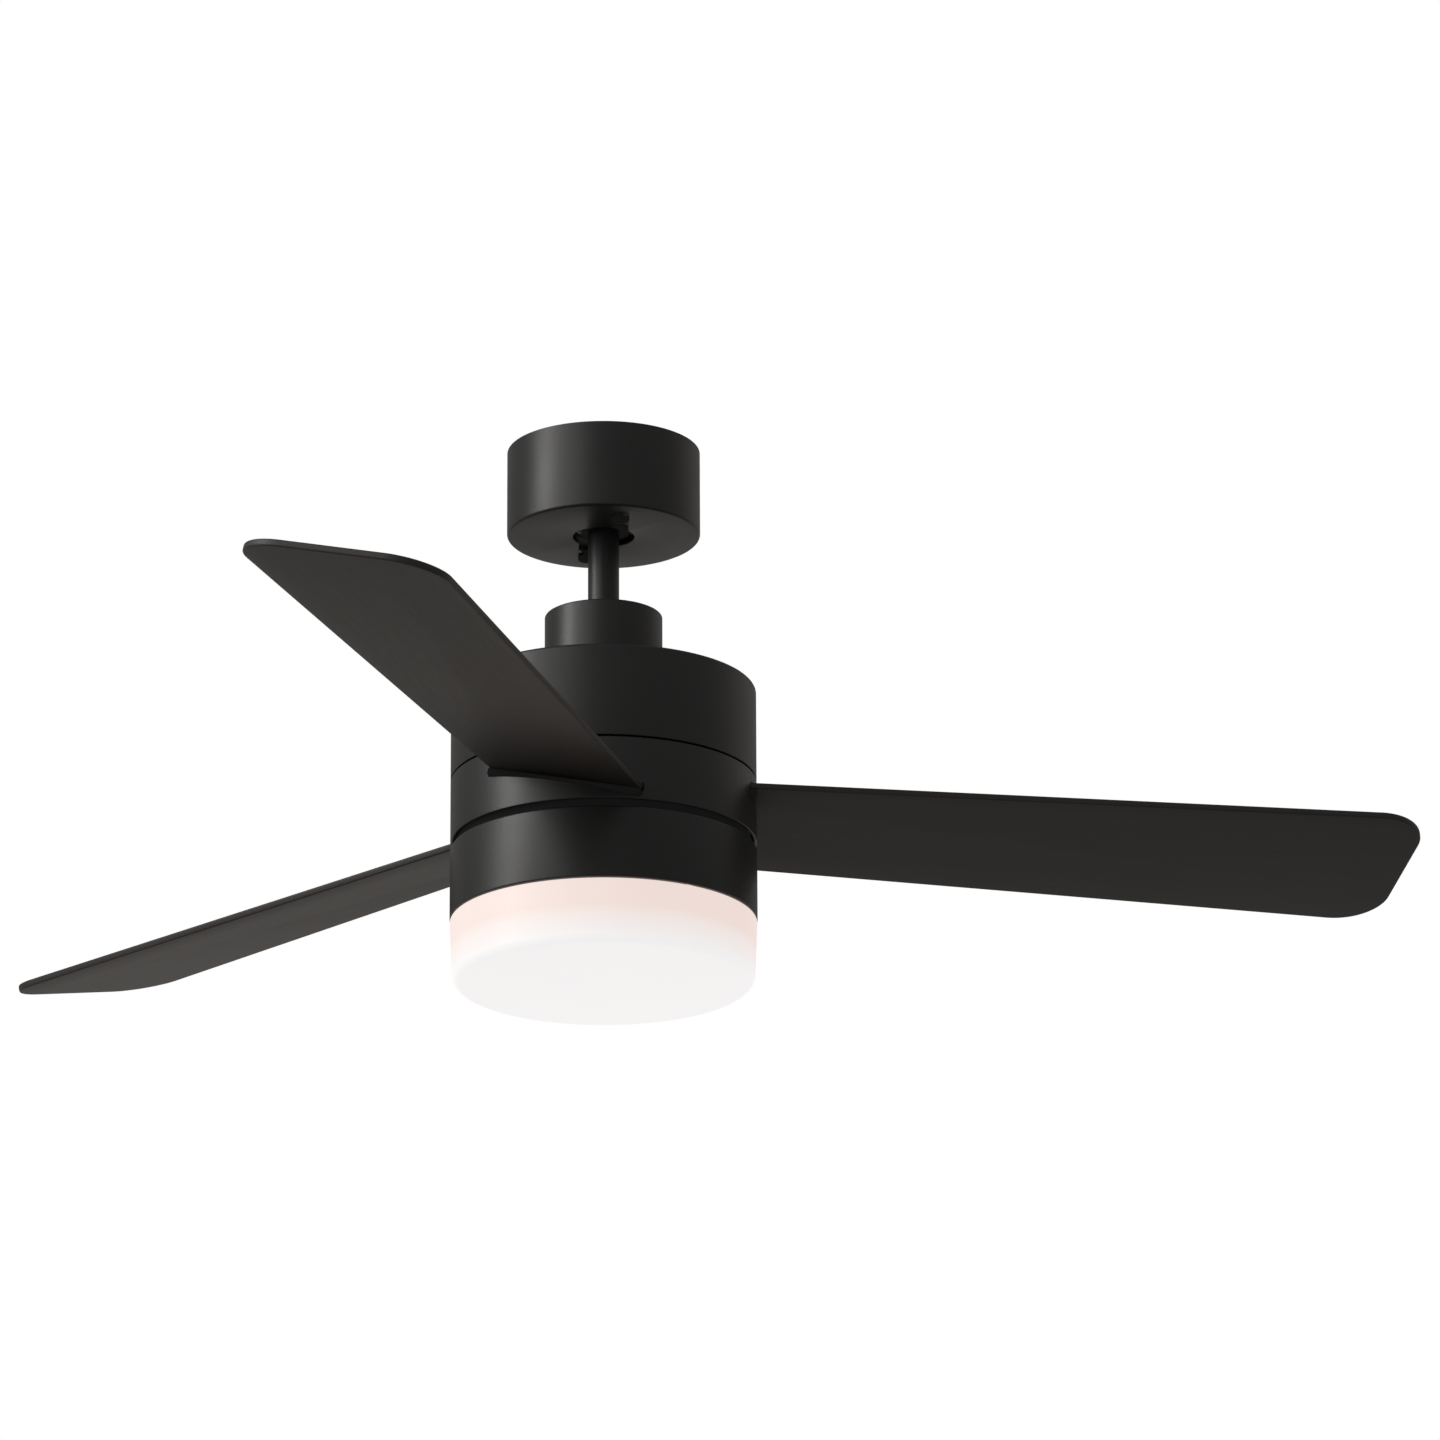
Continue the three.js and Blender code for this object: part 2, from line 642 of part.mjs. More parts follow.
// One cast carrier holds all three blades: a ring under the rotor, a hub wall that hangs
// from it and an arm under each blade. An arm is as wide as its blade and has a square end,
// so its corners stand out of the round band.
const carrierTop = rotorBottom - webThickness - 2 * gap;
const armBottom = -gap - arm.thickness;
const carrierFloor = carrierTop - hub.floor;
function bladeCarrier() {
  const ring = turned([
    [hub.outer, carrierTop],
    [hub.outer, hub.bottom],
    [hub.inner, hub.bottom],
    [hub.inner, carrierFloor],
    [hub.bore, carrierFloor],
    [hub.bore, carrierTop],
  ], 30);
  const armSection = [
    [wallWidth[0], armBottom],
    [wallWidth[1] - arm.corner, armBottom],
    [wallWidth[1], armBottom + arm.corner],
    [wallWidth[1], -gap],
    [wallWidth[0], -gap],
  ];
  const arms = bladeIndexes.map((i) => atBlade(barAlong(armSection, arm.start, arm.end), i));
  const ringHoles = carrierScrews.map((angle) =>
    post(2.4, [carrierFloor - 1, carrierTop + 1], around(carrierScrewRadius, angle)));
  const armHoles = bladeIndexes.flatMap((i) =>
    bladeHoles.map((place) => atBlade(post(2.4, [armBottom - 1, 1], place), i)));
  return cut(join(ring, ...arms), ...ringHoles, ...armHoles);
}

addPart(rotor, "blade_carrier", bladeCarrier(), "blackPaint");
carrierScrews.forEach((angle, i) => {
  const place = [...around(carrierScrewRadius, angle), carrierFloor - gap];
  const carrierScrew = screw(4.4, 2.8, 2, 11).rotateX(Math.PI);
  addPart(rotor, `carrier_screw_${i + 1}`, carrierScrew, "zincSteel", place);
});

bladeIndexes.forEach((i) => {
  const bladeMount = addGroup(rotor);
  bladeMount.rotation.set(radians(-bladePitch), 0, radians(firstBladeAngle + bladeSpacing * i), "ZYX");
  bladeMount.position.z = bladePlane;
  const blade = new THREE.ExtrudeGeometry(bladeShape, bladeSettings);
  addPart(bladeMount, `blade_${i + 1}`, blade, "bladeBlack");
  bladeHoles.forEach(([x, y], j) => {
    const bladeScrew = screw(4.6, 2.4, 2, arm.thickness + bladeThickness).rotateX(Math.PI);
    const place = [x, y, armBottom - gap];
    addPart(bladeMount, `blade_${i + 1}_screw_${j + 1}`, bladeScrew, "zincSteel", place);
  });
});

// ---------------------------------------------------------------- light kit

const mountPlateBottom = ringTop + 1.2;
const panScrews = [30, 150, 270];
const panScrewRadius = 40;
const bossAngles = [330, 210];

const mountPlate = turned([
  [shaftRadius + gap, mountPlateBottom + 12],
  [14, mountPlateBottom + 12],
  [14, mountPlateBottom + 2.2],
  [54, mountPlateBottom + 2.2],
  [54, mountPlateBottom],
  [shaftRadius + gap, mountPlateBottom],
], 24);
const plateHoles = panScrews.map((angle) =>
  post(2.4, [mountPlateBottom - 1, mountPlateBottom + 4], around(panScrewRadius, angle)));
addPart(lightKit, "light_mount_plate", cut(mountPlate, ...plateHoles), "zincSteel");

const nutTop = mountPlateBottom - gap;
const nut = post(14, [nutTop - 8, nutTop], [0, 0], 6);
const nutThread = post(shaftRadius + gap, [nutTop - 9, nutTop + 1], [0, 0], midSides);
addPart(lightKit, "shaft_nut", cut(nut, nutThread), "zincSteel");

// The pan of the light: a black drum with bosses for the board inside, and an inward
// flange at its lower rim with three notches that pass the lugs of the diffuser. A collar
// on top reaches into the turning band and closes the gap to the view.
const flangeInner = neckRadius + 0.9;
const lugStations = [50, 170, 290];
function lightRing() {
  const roof = ringTop - sheet;
  const wall = ringRadius - 1.8;
  const shell = turned([
    [panHole, ringTop],
    [collar.inner, ringTop],
    [collar.inner, collar.top],
    [collar.outer, collar.top],
    [collar.outer, ringTop],
    ...arc(ringRadius - 1.5, ringTop - 1.5, 1.5, 90, 0, 2),
    [ringRadius, ringBottom],
    [flangeInner, ringBottom],
    [flangeInner, ringBottom + 2],
    [wall, ringBottom + 2],
    [wall, roof],
    [panHole, roof],
  ], bodySides);
  const bosses = bossAngles.map((angle) =>
    post(5, [boardTop + gap, roof + 0.5], around(bossRadius, angle)));
  const bossHoles = bossAngles.map((angle) =>
    post(1.9, [boardTop, roof - 2], around(bossRadius, angle), screwSides));
  const screwHoles = panScrews.map((angle) =>
    post(2.4, [roof - 1, ringTop + 1], around(panScrewRadius, angle)));
  const notches = lugStations.map((angle) => {
    const notch = block([flangeInner - 5, 117.5], [-14, 14], [ringBottom - 1, ringBottom + 3]);
    return notch.rotateZ(radians(angle + lugAngle));
  });
  return cut(join(shell, ...bosses), ...bossHoles, ...screwHoles, ...notches);
}

addPart(lightKit, "light_ring", lightRing(), "blackPaint");
panScrews.forEach((angle, i) => {
  const place = [...around(panScrewRadius, angle), ringTop - sheet - gap];
  const panScrew = screw(4.4, 2.8, 2, 7).rotateX(Math.PI);
  addPart(lightKit, `light_ring_screw_${i + 1}`, panScrew, "zincSteel", place);
});

const driverHeights = [boardTop + 1, ringTop - sheet - gap];
addPart(lightKit, "led_driver", block([-34, 34], [42, 84], driverHeights), "greyPlastic");

// A white aluminium board with two rings of light-emitting diodes on its underside.
function ledBoard() {
  const thickness = 1.6;
  const board = turned(tubeProfile(boardRadius, 26, boardTop, boardTop - thickness), 30);
  const rings = [
    { radius: 46, count: 6 },
    { radius: 84, count: 10 },
  ];
  const chips = rings.flatMap(({ radius, count }) =>
    Array.from({ length: count }, (_, i) => {
      const chip = block([-2.5, 2.5], [-2.5, 2.5], [-0.8, 0.4]);
      const [x, y] = around(radius, (360 / count) * i);
      return chip.translate(x, y, boardTop - thickness);
    }));
  const holes = bossAngles.map((angle) =>
    post(1.9, [boardTop - 3, boardTop + 1], around(bossRadius, angle), screwSides));
  return cut(join(board, ...chips), ...holes);
}

addPart(lightKit, "led_board", ledBoard(), "boardWhite");
bossAngles.forEach((angle, i) => {
  const place = [...around(bossRadius, angle), boardTop - 1.6 - gap];
  const boardScrew = screw(3.2, 2, 1.6, 9).rotateX(Math.PI);
  addPart(lightKit, `led_board_screw_${i + 1}`, boardScrew, "zincSteel", place);
});

// An opal glass bowl whose neck reaches up inside the ring. Three lugs on the neck
// rest on the ring's flange, and drop through its notches after a part turn.
function diffuser() {
  const shoulder = ringBottom - gap;
  const wall = 3;
  const fillet = 7;
  const bowl = turned([
    [0, glassBottom],
    ...arc(glassBaseRadius - fillet, glassBottom + fillet, fillet, -90, 0, 3),
    [bodyRadius, shoulder],
    [neckRadius, shoulder],
    [neckRadius, neckTop],
    [neckRadius - wall, neckTop],
    [neckRadius - wall, shoulder - wall],
    [bodyRadius - wall - 0.4, shoulder - wall],
    ...arc(glassBaseRadius - fillet, glassBottom + fillet, fillet - wall, 0, -90, 2),
    [0, glassBottom + wall],
  ], bodySides);
  const lugs = lugStations.map((angle) => {
    const lug = block([neckRadius - 1.5, 115.8], [-10, 10], [ringBottom + 2 + gap, ringBottom + 6]);
    return lug.rotateZ(radians(angle));
  });
  return join(bowl, ...lugs);
}

addPart(fan, "diffuser", diffuser(), "opalGlass");

export default fan;
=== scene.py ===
# %% [markdown]
# # A ceiling fan with a light, from the bracket to the glass
#
# This lesson dresses a working model of a ceiling fan. The model already knows where every
# piece is and how it moves. Here each piece that a person would look at gets its finished
# shape, and every piece gets a surface made of nodes.
#
# The fan hangs below the ceiling: the plane z = 0 is the ceiling, and the axis of the fan
# is the Z axis. All lengths are metres.

# %% Load the working model
import math

import bmesh
import bpy
from mathutils import Matrix, Vector
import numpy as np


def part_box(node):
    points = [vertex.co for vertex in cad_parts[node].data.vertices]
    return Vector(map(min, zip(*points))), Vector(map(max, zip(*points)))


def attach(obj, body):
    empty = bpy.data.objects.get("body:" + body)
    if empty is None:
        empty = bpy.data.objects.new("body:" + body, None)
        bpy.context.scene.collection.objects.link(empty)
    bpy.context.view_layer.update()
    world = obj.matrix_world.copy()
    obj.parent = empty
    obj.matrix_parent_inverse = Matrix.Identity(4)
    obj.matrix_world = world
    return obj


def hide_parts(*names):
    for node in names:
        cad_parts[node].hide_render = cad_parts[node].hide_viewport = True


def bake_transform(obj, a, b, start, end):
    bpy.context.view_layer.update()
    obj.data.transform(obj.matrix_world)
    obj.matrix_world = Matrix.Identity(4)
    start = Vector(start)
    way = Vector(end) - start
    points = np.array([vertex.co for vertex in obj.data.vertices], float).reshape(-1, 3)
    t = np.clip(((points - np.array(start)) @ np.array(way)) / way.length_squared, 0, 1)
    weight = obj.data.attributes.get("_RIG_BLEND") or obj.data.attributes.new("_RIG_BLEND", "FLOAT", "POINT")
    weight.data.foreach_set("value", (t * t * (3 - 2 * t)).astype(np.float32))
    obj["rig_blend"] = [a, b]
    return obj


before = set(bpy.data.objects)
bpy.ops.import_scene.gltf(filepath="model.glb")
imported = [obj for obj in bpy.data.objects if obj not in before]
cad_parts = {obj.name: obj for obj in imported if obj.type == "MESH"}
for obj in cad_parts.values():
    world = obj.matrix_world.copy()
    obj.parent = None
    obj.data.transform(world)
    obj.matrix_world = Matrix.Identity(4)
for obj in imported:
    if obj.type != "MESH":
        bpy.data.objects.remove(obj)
bpy.context.view_layer.update()
MM = 0.001

# %% [markdown]
# ## Where things are
#
# A fan is built round one axis, so a piece is mostly three numbers: how far it reaches from
# the axis, its top and its bottom. They are read from the model's own boxes, never guessed.

# %% Read sizes from the model


def reach(node):
    """The radius, top and bottom of a round piece on the fan's axis."""
    low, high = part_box(node)
    return high.y, high.z, low.z


DRUM_RADIUS, HOUSING_TOP, HOUSING_BOTTOM = reach("upper_housing")
_, BAND_TOP, BAND_BOTTOM = reach("blade_band")
RING_RADIUS, RING_TOP, RING_BOTTOM = reach("light_ring")
_, GLASS_TOP, GLASS_BOTTOM = reach("diffuser")
CANOPY_RADIUS, CANOPY_TOP, CANOPY_BOTTOM = reach("canopy")
COVER_RADIUS, COVER_TOP, COVER_BOTTOM = reach("coupling_cover")
ROD_RADIUS, ROD_TOP, ROD_BOTTOM = reach("downrod")
SHEET = 1.6 * MM
BLADES = 3
FIRST_BLADE = math.radians(12.7)
PITCH = math.radians(13.0)
BLADE_PLANE = -305.9 * MM
print(f"drum radius {DRUM_RADIUS:.4f}, canopy radius {CANOPY_RADIUS:.4f}, glass bottom {GLASS_BOTTOM:.4f}")

# %% [markdown]
# ## The camera
#
# The fan is seen from below, as a person standing in a large room sees it, through a long
# lens. The lens is level from side to side and tilted up by 19 degrees. The frame is
# shifted a little, which keeps the fan's upright lines upright.

# %% Place the camera
CAMERA_DISTANCE = 7.005
CAMERA_DROP = math.radians(17.93)
CAMERA_TILT = math.radians(19.0)
SENSOR, LENS = 36.0, 221.98
SHIFT = (0.08085, -0.07154)
camera_data = bpy.data.cameras.new("long_lens")
camera_data.sensor_width = SENSOR
camera_data.lens = LENS
camera_data.shift_x, camera_data.shift_y = SHIFT
camera = bpy.data.objects.new("camera", camera_data)
camera.location = (
    0.0,
    -CAMERA_DISTANCE * math.cos(CAMERA_DROP),
    (HOUSING_BOTTOM + BAND_TOP) / 2 - CAMERA_DISTANCE * math.sin(CAMERA_DROP),
)
camera.rotation_euler = (math.radians(90) + CAMERA_TILT, 0.0, 0.0)
camera_data.clip_end = 200.0
bpy.context.scene.collection.objects.link(camera)
bpy.context.scene.camera = camera
bpy.context.scene.view_settings.view_transform = "Standard"
print("camera at", tuple(round(v, 3) for v in camera.location))

# %% [markdown]
# ## Working with nodes
#
# A surface is worked out by small sums: a noise here, a stripe there, one minus the other.
# Written as nodes those sums are long, so a socket is wrapped in a small class. Python's
# own operators then add the Math nodes, and one method adds any other node. The same class
# serves the studio, the finishes and the trees that make shapes.

# %% Wrap a socket and a tree


class Signal:
    """One output of a node. Adding or multiplying signals adds Math nodes."""

    def __init__(self, nodes, socket):
        self.nodes = nodes
        self.socket = socket

    def math(self, operation, other=0.0):
        return self.nodes.node("ShaderNodeMath", {"operation": operation}, {0: self, 1: other})

    def __add__(self, other):
        return self.math("ADD", other)

    def __sub__(self, other):
        return self.math("SUBTRACT", other)

    def __mul__(self, other):
        return self.math("MULTIPLY", other)

    __radd__ = __add__
    __rmul__ = __mul__


class Nodes:
    """A node tree. node() adds a node of any type and returns one of its outputs."""

    def __init__(self, tree):
        self.tree = tree

    def node(self, kind, settings=None, inputs=None, output=0):
        made = self.tree.nodes.new(kind)
        for key, value in (settings or {}).items():
            setattr(made, key, value)
        for key, value in (inputs or {}).items():
            self.feed(made.inputs[key], value)
        return Signal(self, made.outputs[output])

    def feed(self, socket, value):
        """Links a signal to a socket, or writes a plain value on it."""
        if isinstance(value, Signal):
            self.tree.links.new(value.socket, socket)
        else:
            socket.default_value = value

    def split(self, vector, axis):
        """The X, Y or Z of a vector."""
        return self.node("ShaderNodeSeparateXYZ", None, {0: vector}, axis)


class Finish(Nodes):
    """A material with one Principled shader."""

    def __init__(self, name):
        self.material = bpy.data.materials.new(name)
        self.material.use_nodes = True
        super().__init__(self.material.node_tree)
        self.shader = self.tree.nodes["Principled BSDF"]

    def set(self, **values):
        """Sets or links the shader's own sockets, by their names with _ for a space."""
        for key, value in values.items():
            label = key.replace("_", " ").title().replace("Ior", "IOR")
            self.feed(self.shader.inputs[label], value)

    def mix(self, factor, first, second):
        """A colour between two colours."""
        return self.node("ShaderNodeMix", {"data_type": "RGBA"}, {0: factor, 6: first, 7: second}, 2)

    def place(self):
        return self.node("ShaderNodeTexCoord", output="Object")

    def noise(self, vector, scale, detail=2.0, roughness=0.5):
        inputs = {"Vector": vector, "Scale": scale, "Detail": detail, "Roughness": roughness}
        return self.node("ShaderNodeTexNoise", None, inputs)

    def contrast(self, signal, low, high):
        """Stretches a signal so that low becomes 0 and high becomes 1."""
        return self.node("ShaderNodeMapRange", None, {0: signal, 1: low, 2: high, 3: 0.0, 4: 1.0})

    def patches(self, vector, scale, detail, low, high):
        """Soft patches: noise with more contrast."""
        return self.contrast(self.noise(vector, scale, detail), low, high)

    def steps(self, signal, stops):
        """Turns a signal into levels by (position, level) stops."""
        made = self.node("ShaderNodeValToRGB", None, {0: signal})
        ramp = made.socket.node.color_ramp
        while len(ramp.elements) < len(stops):
            ramp.elements.new(0.5)
        for element, (position, level) in zip(ramp.elements, stops):
            element.position = position
            element.color = (level, level, level, 1.0)
        return made

    def bump(self, height, distance):
        normal = self.node("ShaderNodeBump", None, {"Height": height, "Distance": distance, "Strength": 1.0})
        self.feed(self.shader.inputs["Normal"], normal)


def rgb(red, green, blue):
    """A colour given as it looks on a screen, from 0 to 255, as the linear colour nodes need."""

    def linear(level):
        share = level / 255
        return share / 12.92 if share <= 0.04045 else ((share + 0.055) / 1.055) ** 2.4

    return (linear(red), linear(green), linear(blue), 1.0)


print("node helpers ready")

# %% [markdown]
# ## Light and floor
#
# A black object shows its shape by what it reflects. One tall soft light stands far to the
# left and draws the bright stripe down every drum. Two wide panels, one on the left and one
# in front, carry the stripe's edge softly round. A weak warm light on the right lifts the
# other edge, and a low one far behind reaches the undersides. The room is an even pale grey.

# %% Build the studio


def area_light(name, place, target_height, size, power, colour):
    """A soft rectangular light that faces a point on the fan's axis."""
    data = bpy.data.lights.new(name, "AREA")
    data.shape = "RECTANGLE"
    data.size, data.size_y = size
    data.energy = power
    data.color = colour
    light = bpy.data.objects.new(name, data)
    light.location = place
    aim = Vector((0.0, 0.0, target_height)) - Vector(place)
    light.rotation_euler = aim.to_track_quat("-Z", "Y").to_euler()
    bpy.context.scene.collection.objects.link(light)


def seen_or_shining(nodes, output, seen, shining):
    """One surface for the eye and a dimmer one for the light that it sends out."""
    ray = nodes.node("ShaderNodeLightPath", output="Is Camera Ray")
    mix = nodes.node("ShaderNodeMixShader", None, {0: ray, 1: shining, 2: seen})
    nodes.feed(nodes.tree.nodes[output].inputs["Surface"], mix)


ROOM_LIGHT = 0.25
world = bpy.data.worlds.new("studio")
world.use_nodes = True
bpy.context.scene.world = world
room = Nodes(world.node_tree)
background = room.tree.nodes["Background"]
background.inputs["Color"].default_value = (1.0, 0.985, 0.97, 1.0)
background.inputs["Strength"].default_value = ROOM_LIGHT
air = Signal(room, background.outputs[0])
paper = room.node("ShaderNodeBackground", None, {"Color": (1.0, 1.0, 1.0, 1.0), "Strength": 1.0})
seen_or_shining(room, "World Output", paper, air)

FLOOR, FLOOR_SIZE, FLOOR_FADE = -4.2, 120.0, 3.5
bpy.ops.mesh.primitive_plane_add(size=FLOOR_SIZE, location=(0.0, 0.0, FLOOR))
floor = bpy.context.active_object
floor.name = "studio_floor"
paint = Finish("pale_floor")
paint.tree.nodes.remove(paint.shader)
share = paint.contrast(paint.split(paint.place(), "Y"), 0.0, FLOOR_FADE)
tone = paint.mix(share, (0.20, 0.19, 0.18, 1.0), (0.35, 0.335, 0.315, 1.0))
seen_glow = paint.node("ShaderNodeEmission", None, {"Color": (0.87, 0.87, 0.87, 1.0)})
sent_glow = paint.node("ShaderNodeEmission", None, {"Color": tone})
seen_or_shining(paint, "Material Output", seen_glow, sent_glow)
floor.data.materials.append(paint.material)

# Each light: its place, the height on the axis that it faces, its size, power and colour.
LIGHTS = {
    "tall_strip": ((-3.85, -1.1, 1.2), -0.2, (0.9, 3.4), 62.0, (1.0, 0.99, 0.98)),
    "left_panel": ((-3.71, -1.50, 1.2), -0.2, (2.4, 3.4), 38.0, (1.0, 0.985, 0.97)),
    "front_panel": ((-2.41, -3.19, 1.2), -0.2, (2.0, 3.4), 25.0, (1.0, 0.985, 0.97)),
    "warm_edge": ((3.28, 2.29, 0.9), -0.25, (3.0, 2.4), 2.3, (1.0, 0.84, 0.72)),
    "low_back": ((0.0, 8.0, -0.3), -0.3, (10.0, 2.4), 19.0, (1.0, 0.93, 0.88)),
}
for name, settings in LIGHTS.items():
    area_light(name, *settings)
print("studio ready, lights:", len(LIGHTS))

# %% [markdown]
# ## The finishes
#
# Powder coat on metal is matte, with a skin like very fine orange peel. Laminate on the
# blades has a faint grain along their length. Metals inside are plated, cast or stacked.
# Every finish is a short function, so a reader can change one without the others.

# %% Powder coat and other paints


def powder_coat(name, colour, lighter, roughness, shine=0.5, stray=0.0):
    """Baked powder paint: slow changes of tone, a fine peel, and specks of dust.

    Stray is a trace of glow, for the light that finds its way into narrow gaps.
    """
    peel = 0.00006
    finish = Finish(name)
    place = finish.place()
    tone = finish.patches(place, 14.0, 3.0, 0.3, 0.7)
    fine = finish.noise(place, 1100.0)
    speck = finish.patches(place, 2600.0, 1.0, 0.66, 0.74)
    colour_node = finish.mix(tone * 0.6 + speck * 0.25, colour, lighter)
    finish.set(base_color=colour_node, roughness=roughness - 0.03 + 0.06 * tone)
    finish.set(metallic=0.0, specular_ior_level=shine)
    finish.set(emission_color=(stray, stray, stray, 1.0), emission_strength=1.0)
    finish.bump(fine + 0.4 * speck, peel)
    return finish.material


black_coat = powder_coat("black_powder_coat", rgb(29, 29, 29), rgb(35, 34, 33), 0.40)
# The inner coat is painted shade: the bracket has the same black paint as the canopy, made darker and duller
# here for the shade inside the canopy.
inner_shade_coat = powder_coat("inner_black_coat", rgb(24, 24, 24), rgb(30, 30, 29), 0.5, shine=0.3)
# The darkest coat is painted shade. The carrier, the ball, the canopy's screws and the pan's collar are black,
# but this coat is darker than the outer paint to stand for the shade they sit in. Its trace of glow is painted
# light in the narrow gaps.
painted_shade_coat = powder_coat("deep_black_coat", rgb(12, 12, 12), rgb(18, 18, 17), 0.8, shine=0.05, stray=0.0055)
print("paints:", black_coat.name, inner_shade_coat.name, painted_shade_coat.name)

# %% Blade laminate


def blade_laminate(name):
    """Matte foil on fibreboard. The grain follows the blade through its own UV map."""
    finish = Finish(name)
    uv = finish.node("ShaderNodeUVMap", {"uv_map": "along_blade"})
    stretched = finish.node("ShaderNodeMapping", None, {"Vector": uv, "Scale": (14.0, 420.0, 1.0)})
    grain = finish.contrast(finish.noise(stretched, 1.0, 4.0, 0.6), 0.35, 0.65)
    place = finish.place()
    cloud = finish.patches(place, 9.0, 3.0, 0.3, 0.7)
    fine = finish.noise(place, 900.0, 2.0)
    dark, light = rgb(38, 34, 31), rgb(46, 41, 38)
    finish.set(base_color=finish.mix(0.55 * grain + 0.3 * cloud, dark, light))
    finish.set(roughness=0.5 + 0.05 * grain, specular_ior_level=0.5)
    finish.bump(0.5 * grain + 0.3 * fine, 0.00005)
    return finish.material


laminate = blade_laminate("blade_laminate")
print("laminate:", laminate.name)

# %% Opal glass, lit from inside


def opal_glass(name, top, bottom):
    """Cased opal glass. It glows warmest close under the ring, where the light is near."""
    finish = Finish(name)
    place = finish.place()
    down = finish.contrast(finish.split(place, "Z"), top, bottom)
    stops = [(0.0, 1.0), (0.42, 1.0), (0.58, 0.55), (0.75, 0.35), (0.92, 0.05), (1.0, 0.0)]
    warmth = finish.steps(down, stops)
    cloud = finish.patches(place, 22.0, 2.0, 0.3, 0.7)
    clear, peach = (0.818, 0.812, 0.815, 1.0), (0.80, 0.662, 0.615, 1.0)
    glow = finish.mix(warmth * (0.95 + 0.05 * cloud), clear, peach)
    finish.set(base_color=(0.22, 0.215, 0.21, 1.0), roughness=0.42 + 0.04 * cloud)
    finish.set(emission_color=glow, emission_strength=1.0, specular_ior_level=0.2)
    return finish.material


opal = opal_glass("opal_glass_lit", RING_BOTTOM, GLASS_BOTTOM)
print("glass:", opal.name)

# %% Metals


def plated_steel(name, colour, lighter, roughness):
    """Zinc or nickel on steel: small crystals and faint handling marks."""
    finish = Finish(name)
    place = finish.place()
    crystals = finish.node("ShaderNodeTexVoronoi", None, {"Vector": place, "Scale": 420.0}, output="Color")
    level = finish.node("ShaderNodeSeparateColor", None, {0: crystals}, output=0)
    marks = finish.patches(place, 160.0, 5.0, 0.45, 0.75)
    finish.set(base_color=finish.mix(0.5 * level + 0.3 * marks, colour, lighter))
    finish.set(metallic=1.0, roughness=roughness + 0.08 * level - 0.04 * marks)
    finish.bump(marks, 0.00003)
    return finish.material


def cast_metal(name, colour, lighter):
    """Die-cast aluminium, with the dull grainy skin that the mould leaves."""
    finish = Finish(name)
    place = finish.place()
    grain = finish.noise(place, 700.0, 4.0, 0.7)
    flow = finish.patches(place, 30.0, 3.0, 0.35, 0.65)
    finish.set(base_color=finish.mix(0.6 * flow + 0.2 * grain, colour, lighter))
    finish.set(metallic=0.9, roughness=0.45 + 0.1 * flow)
    finish.bump(grain, 0.00008)
    return finish.material


def laminated_steel(name):
    """Half-millimetre sheets, stacked: fine level lines round the side of the stack."""
    finish = Finish(name)
    place = finish.place()
    sheets_per_metre = 2000.0
    line = finish.contrast((finish.split(place, "Z") * sheets_per_metre).math("FRACT"), 0.0, 0.2)
    stain = finish.patches(place, 60.0, 3.0, 0.3, 0.7)
    finish.set(base_color=finish.mix(0.7 * line + 0.3 * stain, rgb(70, 72, 76), rgb(150, 152, 156)))
    finish.set(metallic=0.9, roughness=0.4 + 0.1 * stain)
    finish.bump(line, 0.00005)
    return finish.material


def enamelled_copper(name):
    """Copper wire under clear enamel; the turns show as fine ridges round each coil."""
    finish = Finish(name)
    place = finish.place()
    tone = finish.patches(place, 240.0, 3.0, 0.3, 0.7)
    finish.set(base_color=finish.mix(tone, rgb(168, 84, 44), rgb(206, 122, 72)))
    finish.set(metallic=0.9, roughness=0.28 + 0.08 * tone)
    finish.set(coat_weight=0.5)
    return finish.material


zinc = plated_steel("zinc_plated_steel", rgb(150, 152, 155), rgb(196, 198, 200), 0.3)
dark_steel = plated_steel("blackened_steel", rgb(48, 48, 49), rgb(74, 74, 75), 0.38)
bearing_steel = plated_steel("ground_bearing_steel", rgb(190, 192, 195), rgb(214, 215, 217), 0.18)
aluminium = cast_metal("cast_aluminium", rgb(158, 160, 163), rgb(190, 191, 193))
ferrite = cast_metal("ferrite_magnet", rgb(46, 46, 48), rgb(62, 62, 64))
laminations = laminated_steel("stacked_laminations")
copper = enamelled_copper("enamelled_copper")
print("metals:", len([zinc, dark_steel, bearing_steel, aluminium, ferrite, laminations, copper]))

# %% Plastics, sleeves and the board


def moulded_plastic(name, colour, lighter, roughness, texture=0.00004):
    """Moulded plastic with the even fine texture of an etched mould."""
    finish = Finish(name)
    place = finish.place()
    etch = finish.noise(place, 1500.0, 2.0)
    cloud = finish.patches(place, 40.0, 2.0, 0.3, 0.7)
    finish.set(base_color=finish.mix(0.5 * cloud + 0.3 * etch, colour, lighter))
    finish.set(roughness=roughness + 0.06 * cloud)
    finish.bump(etch, texture)
    return finish.material


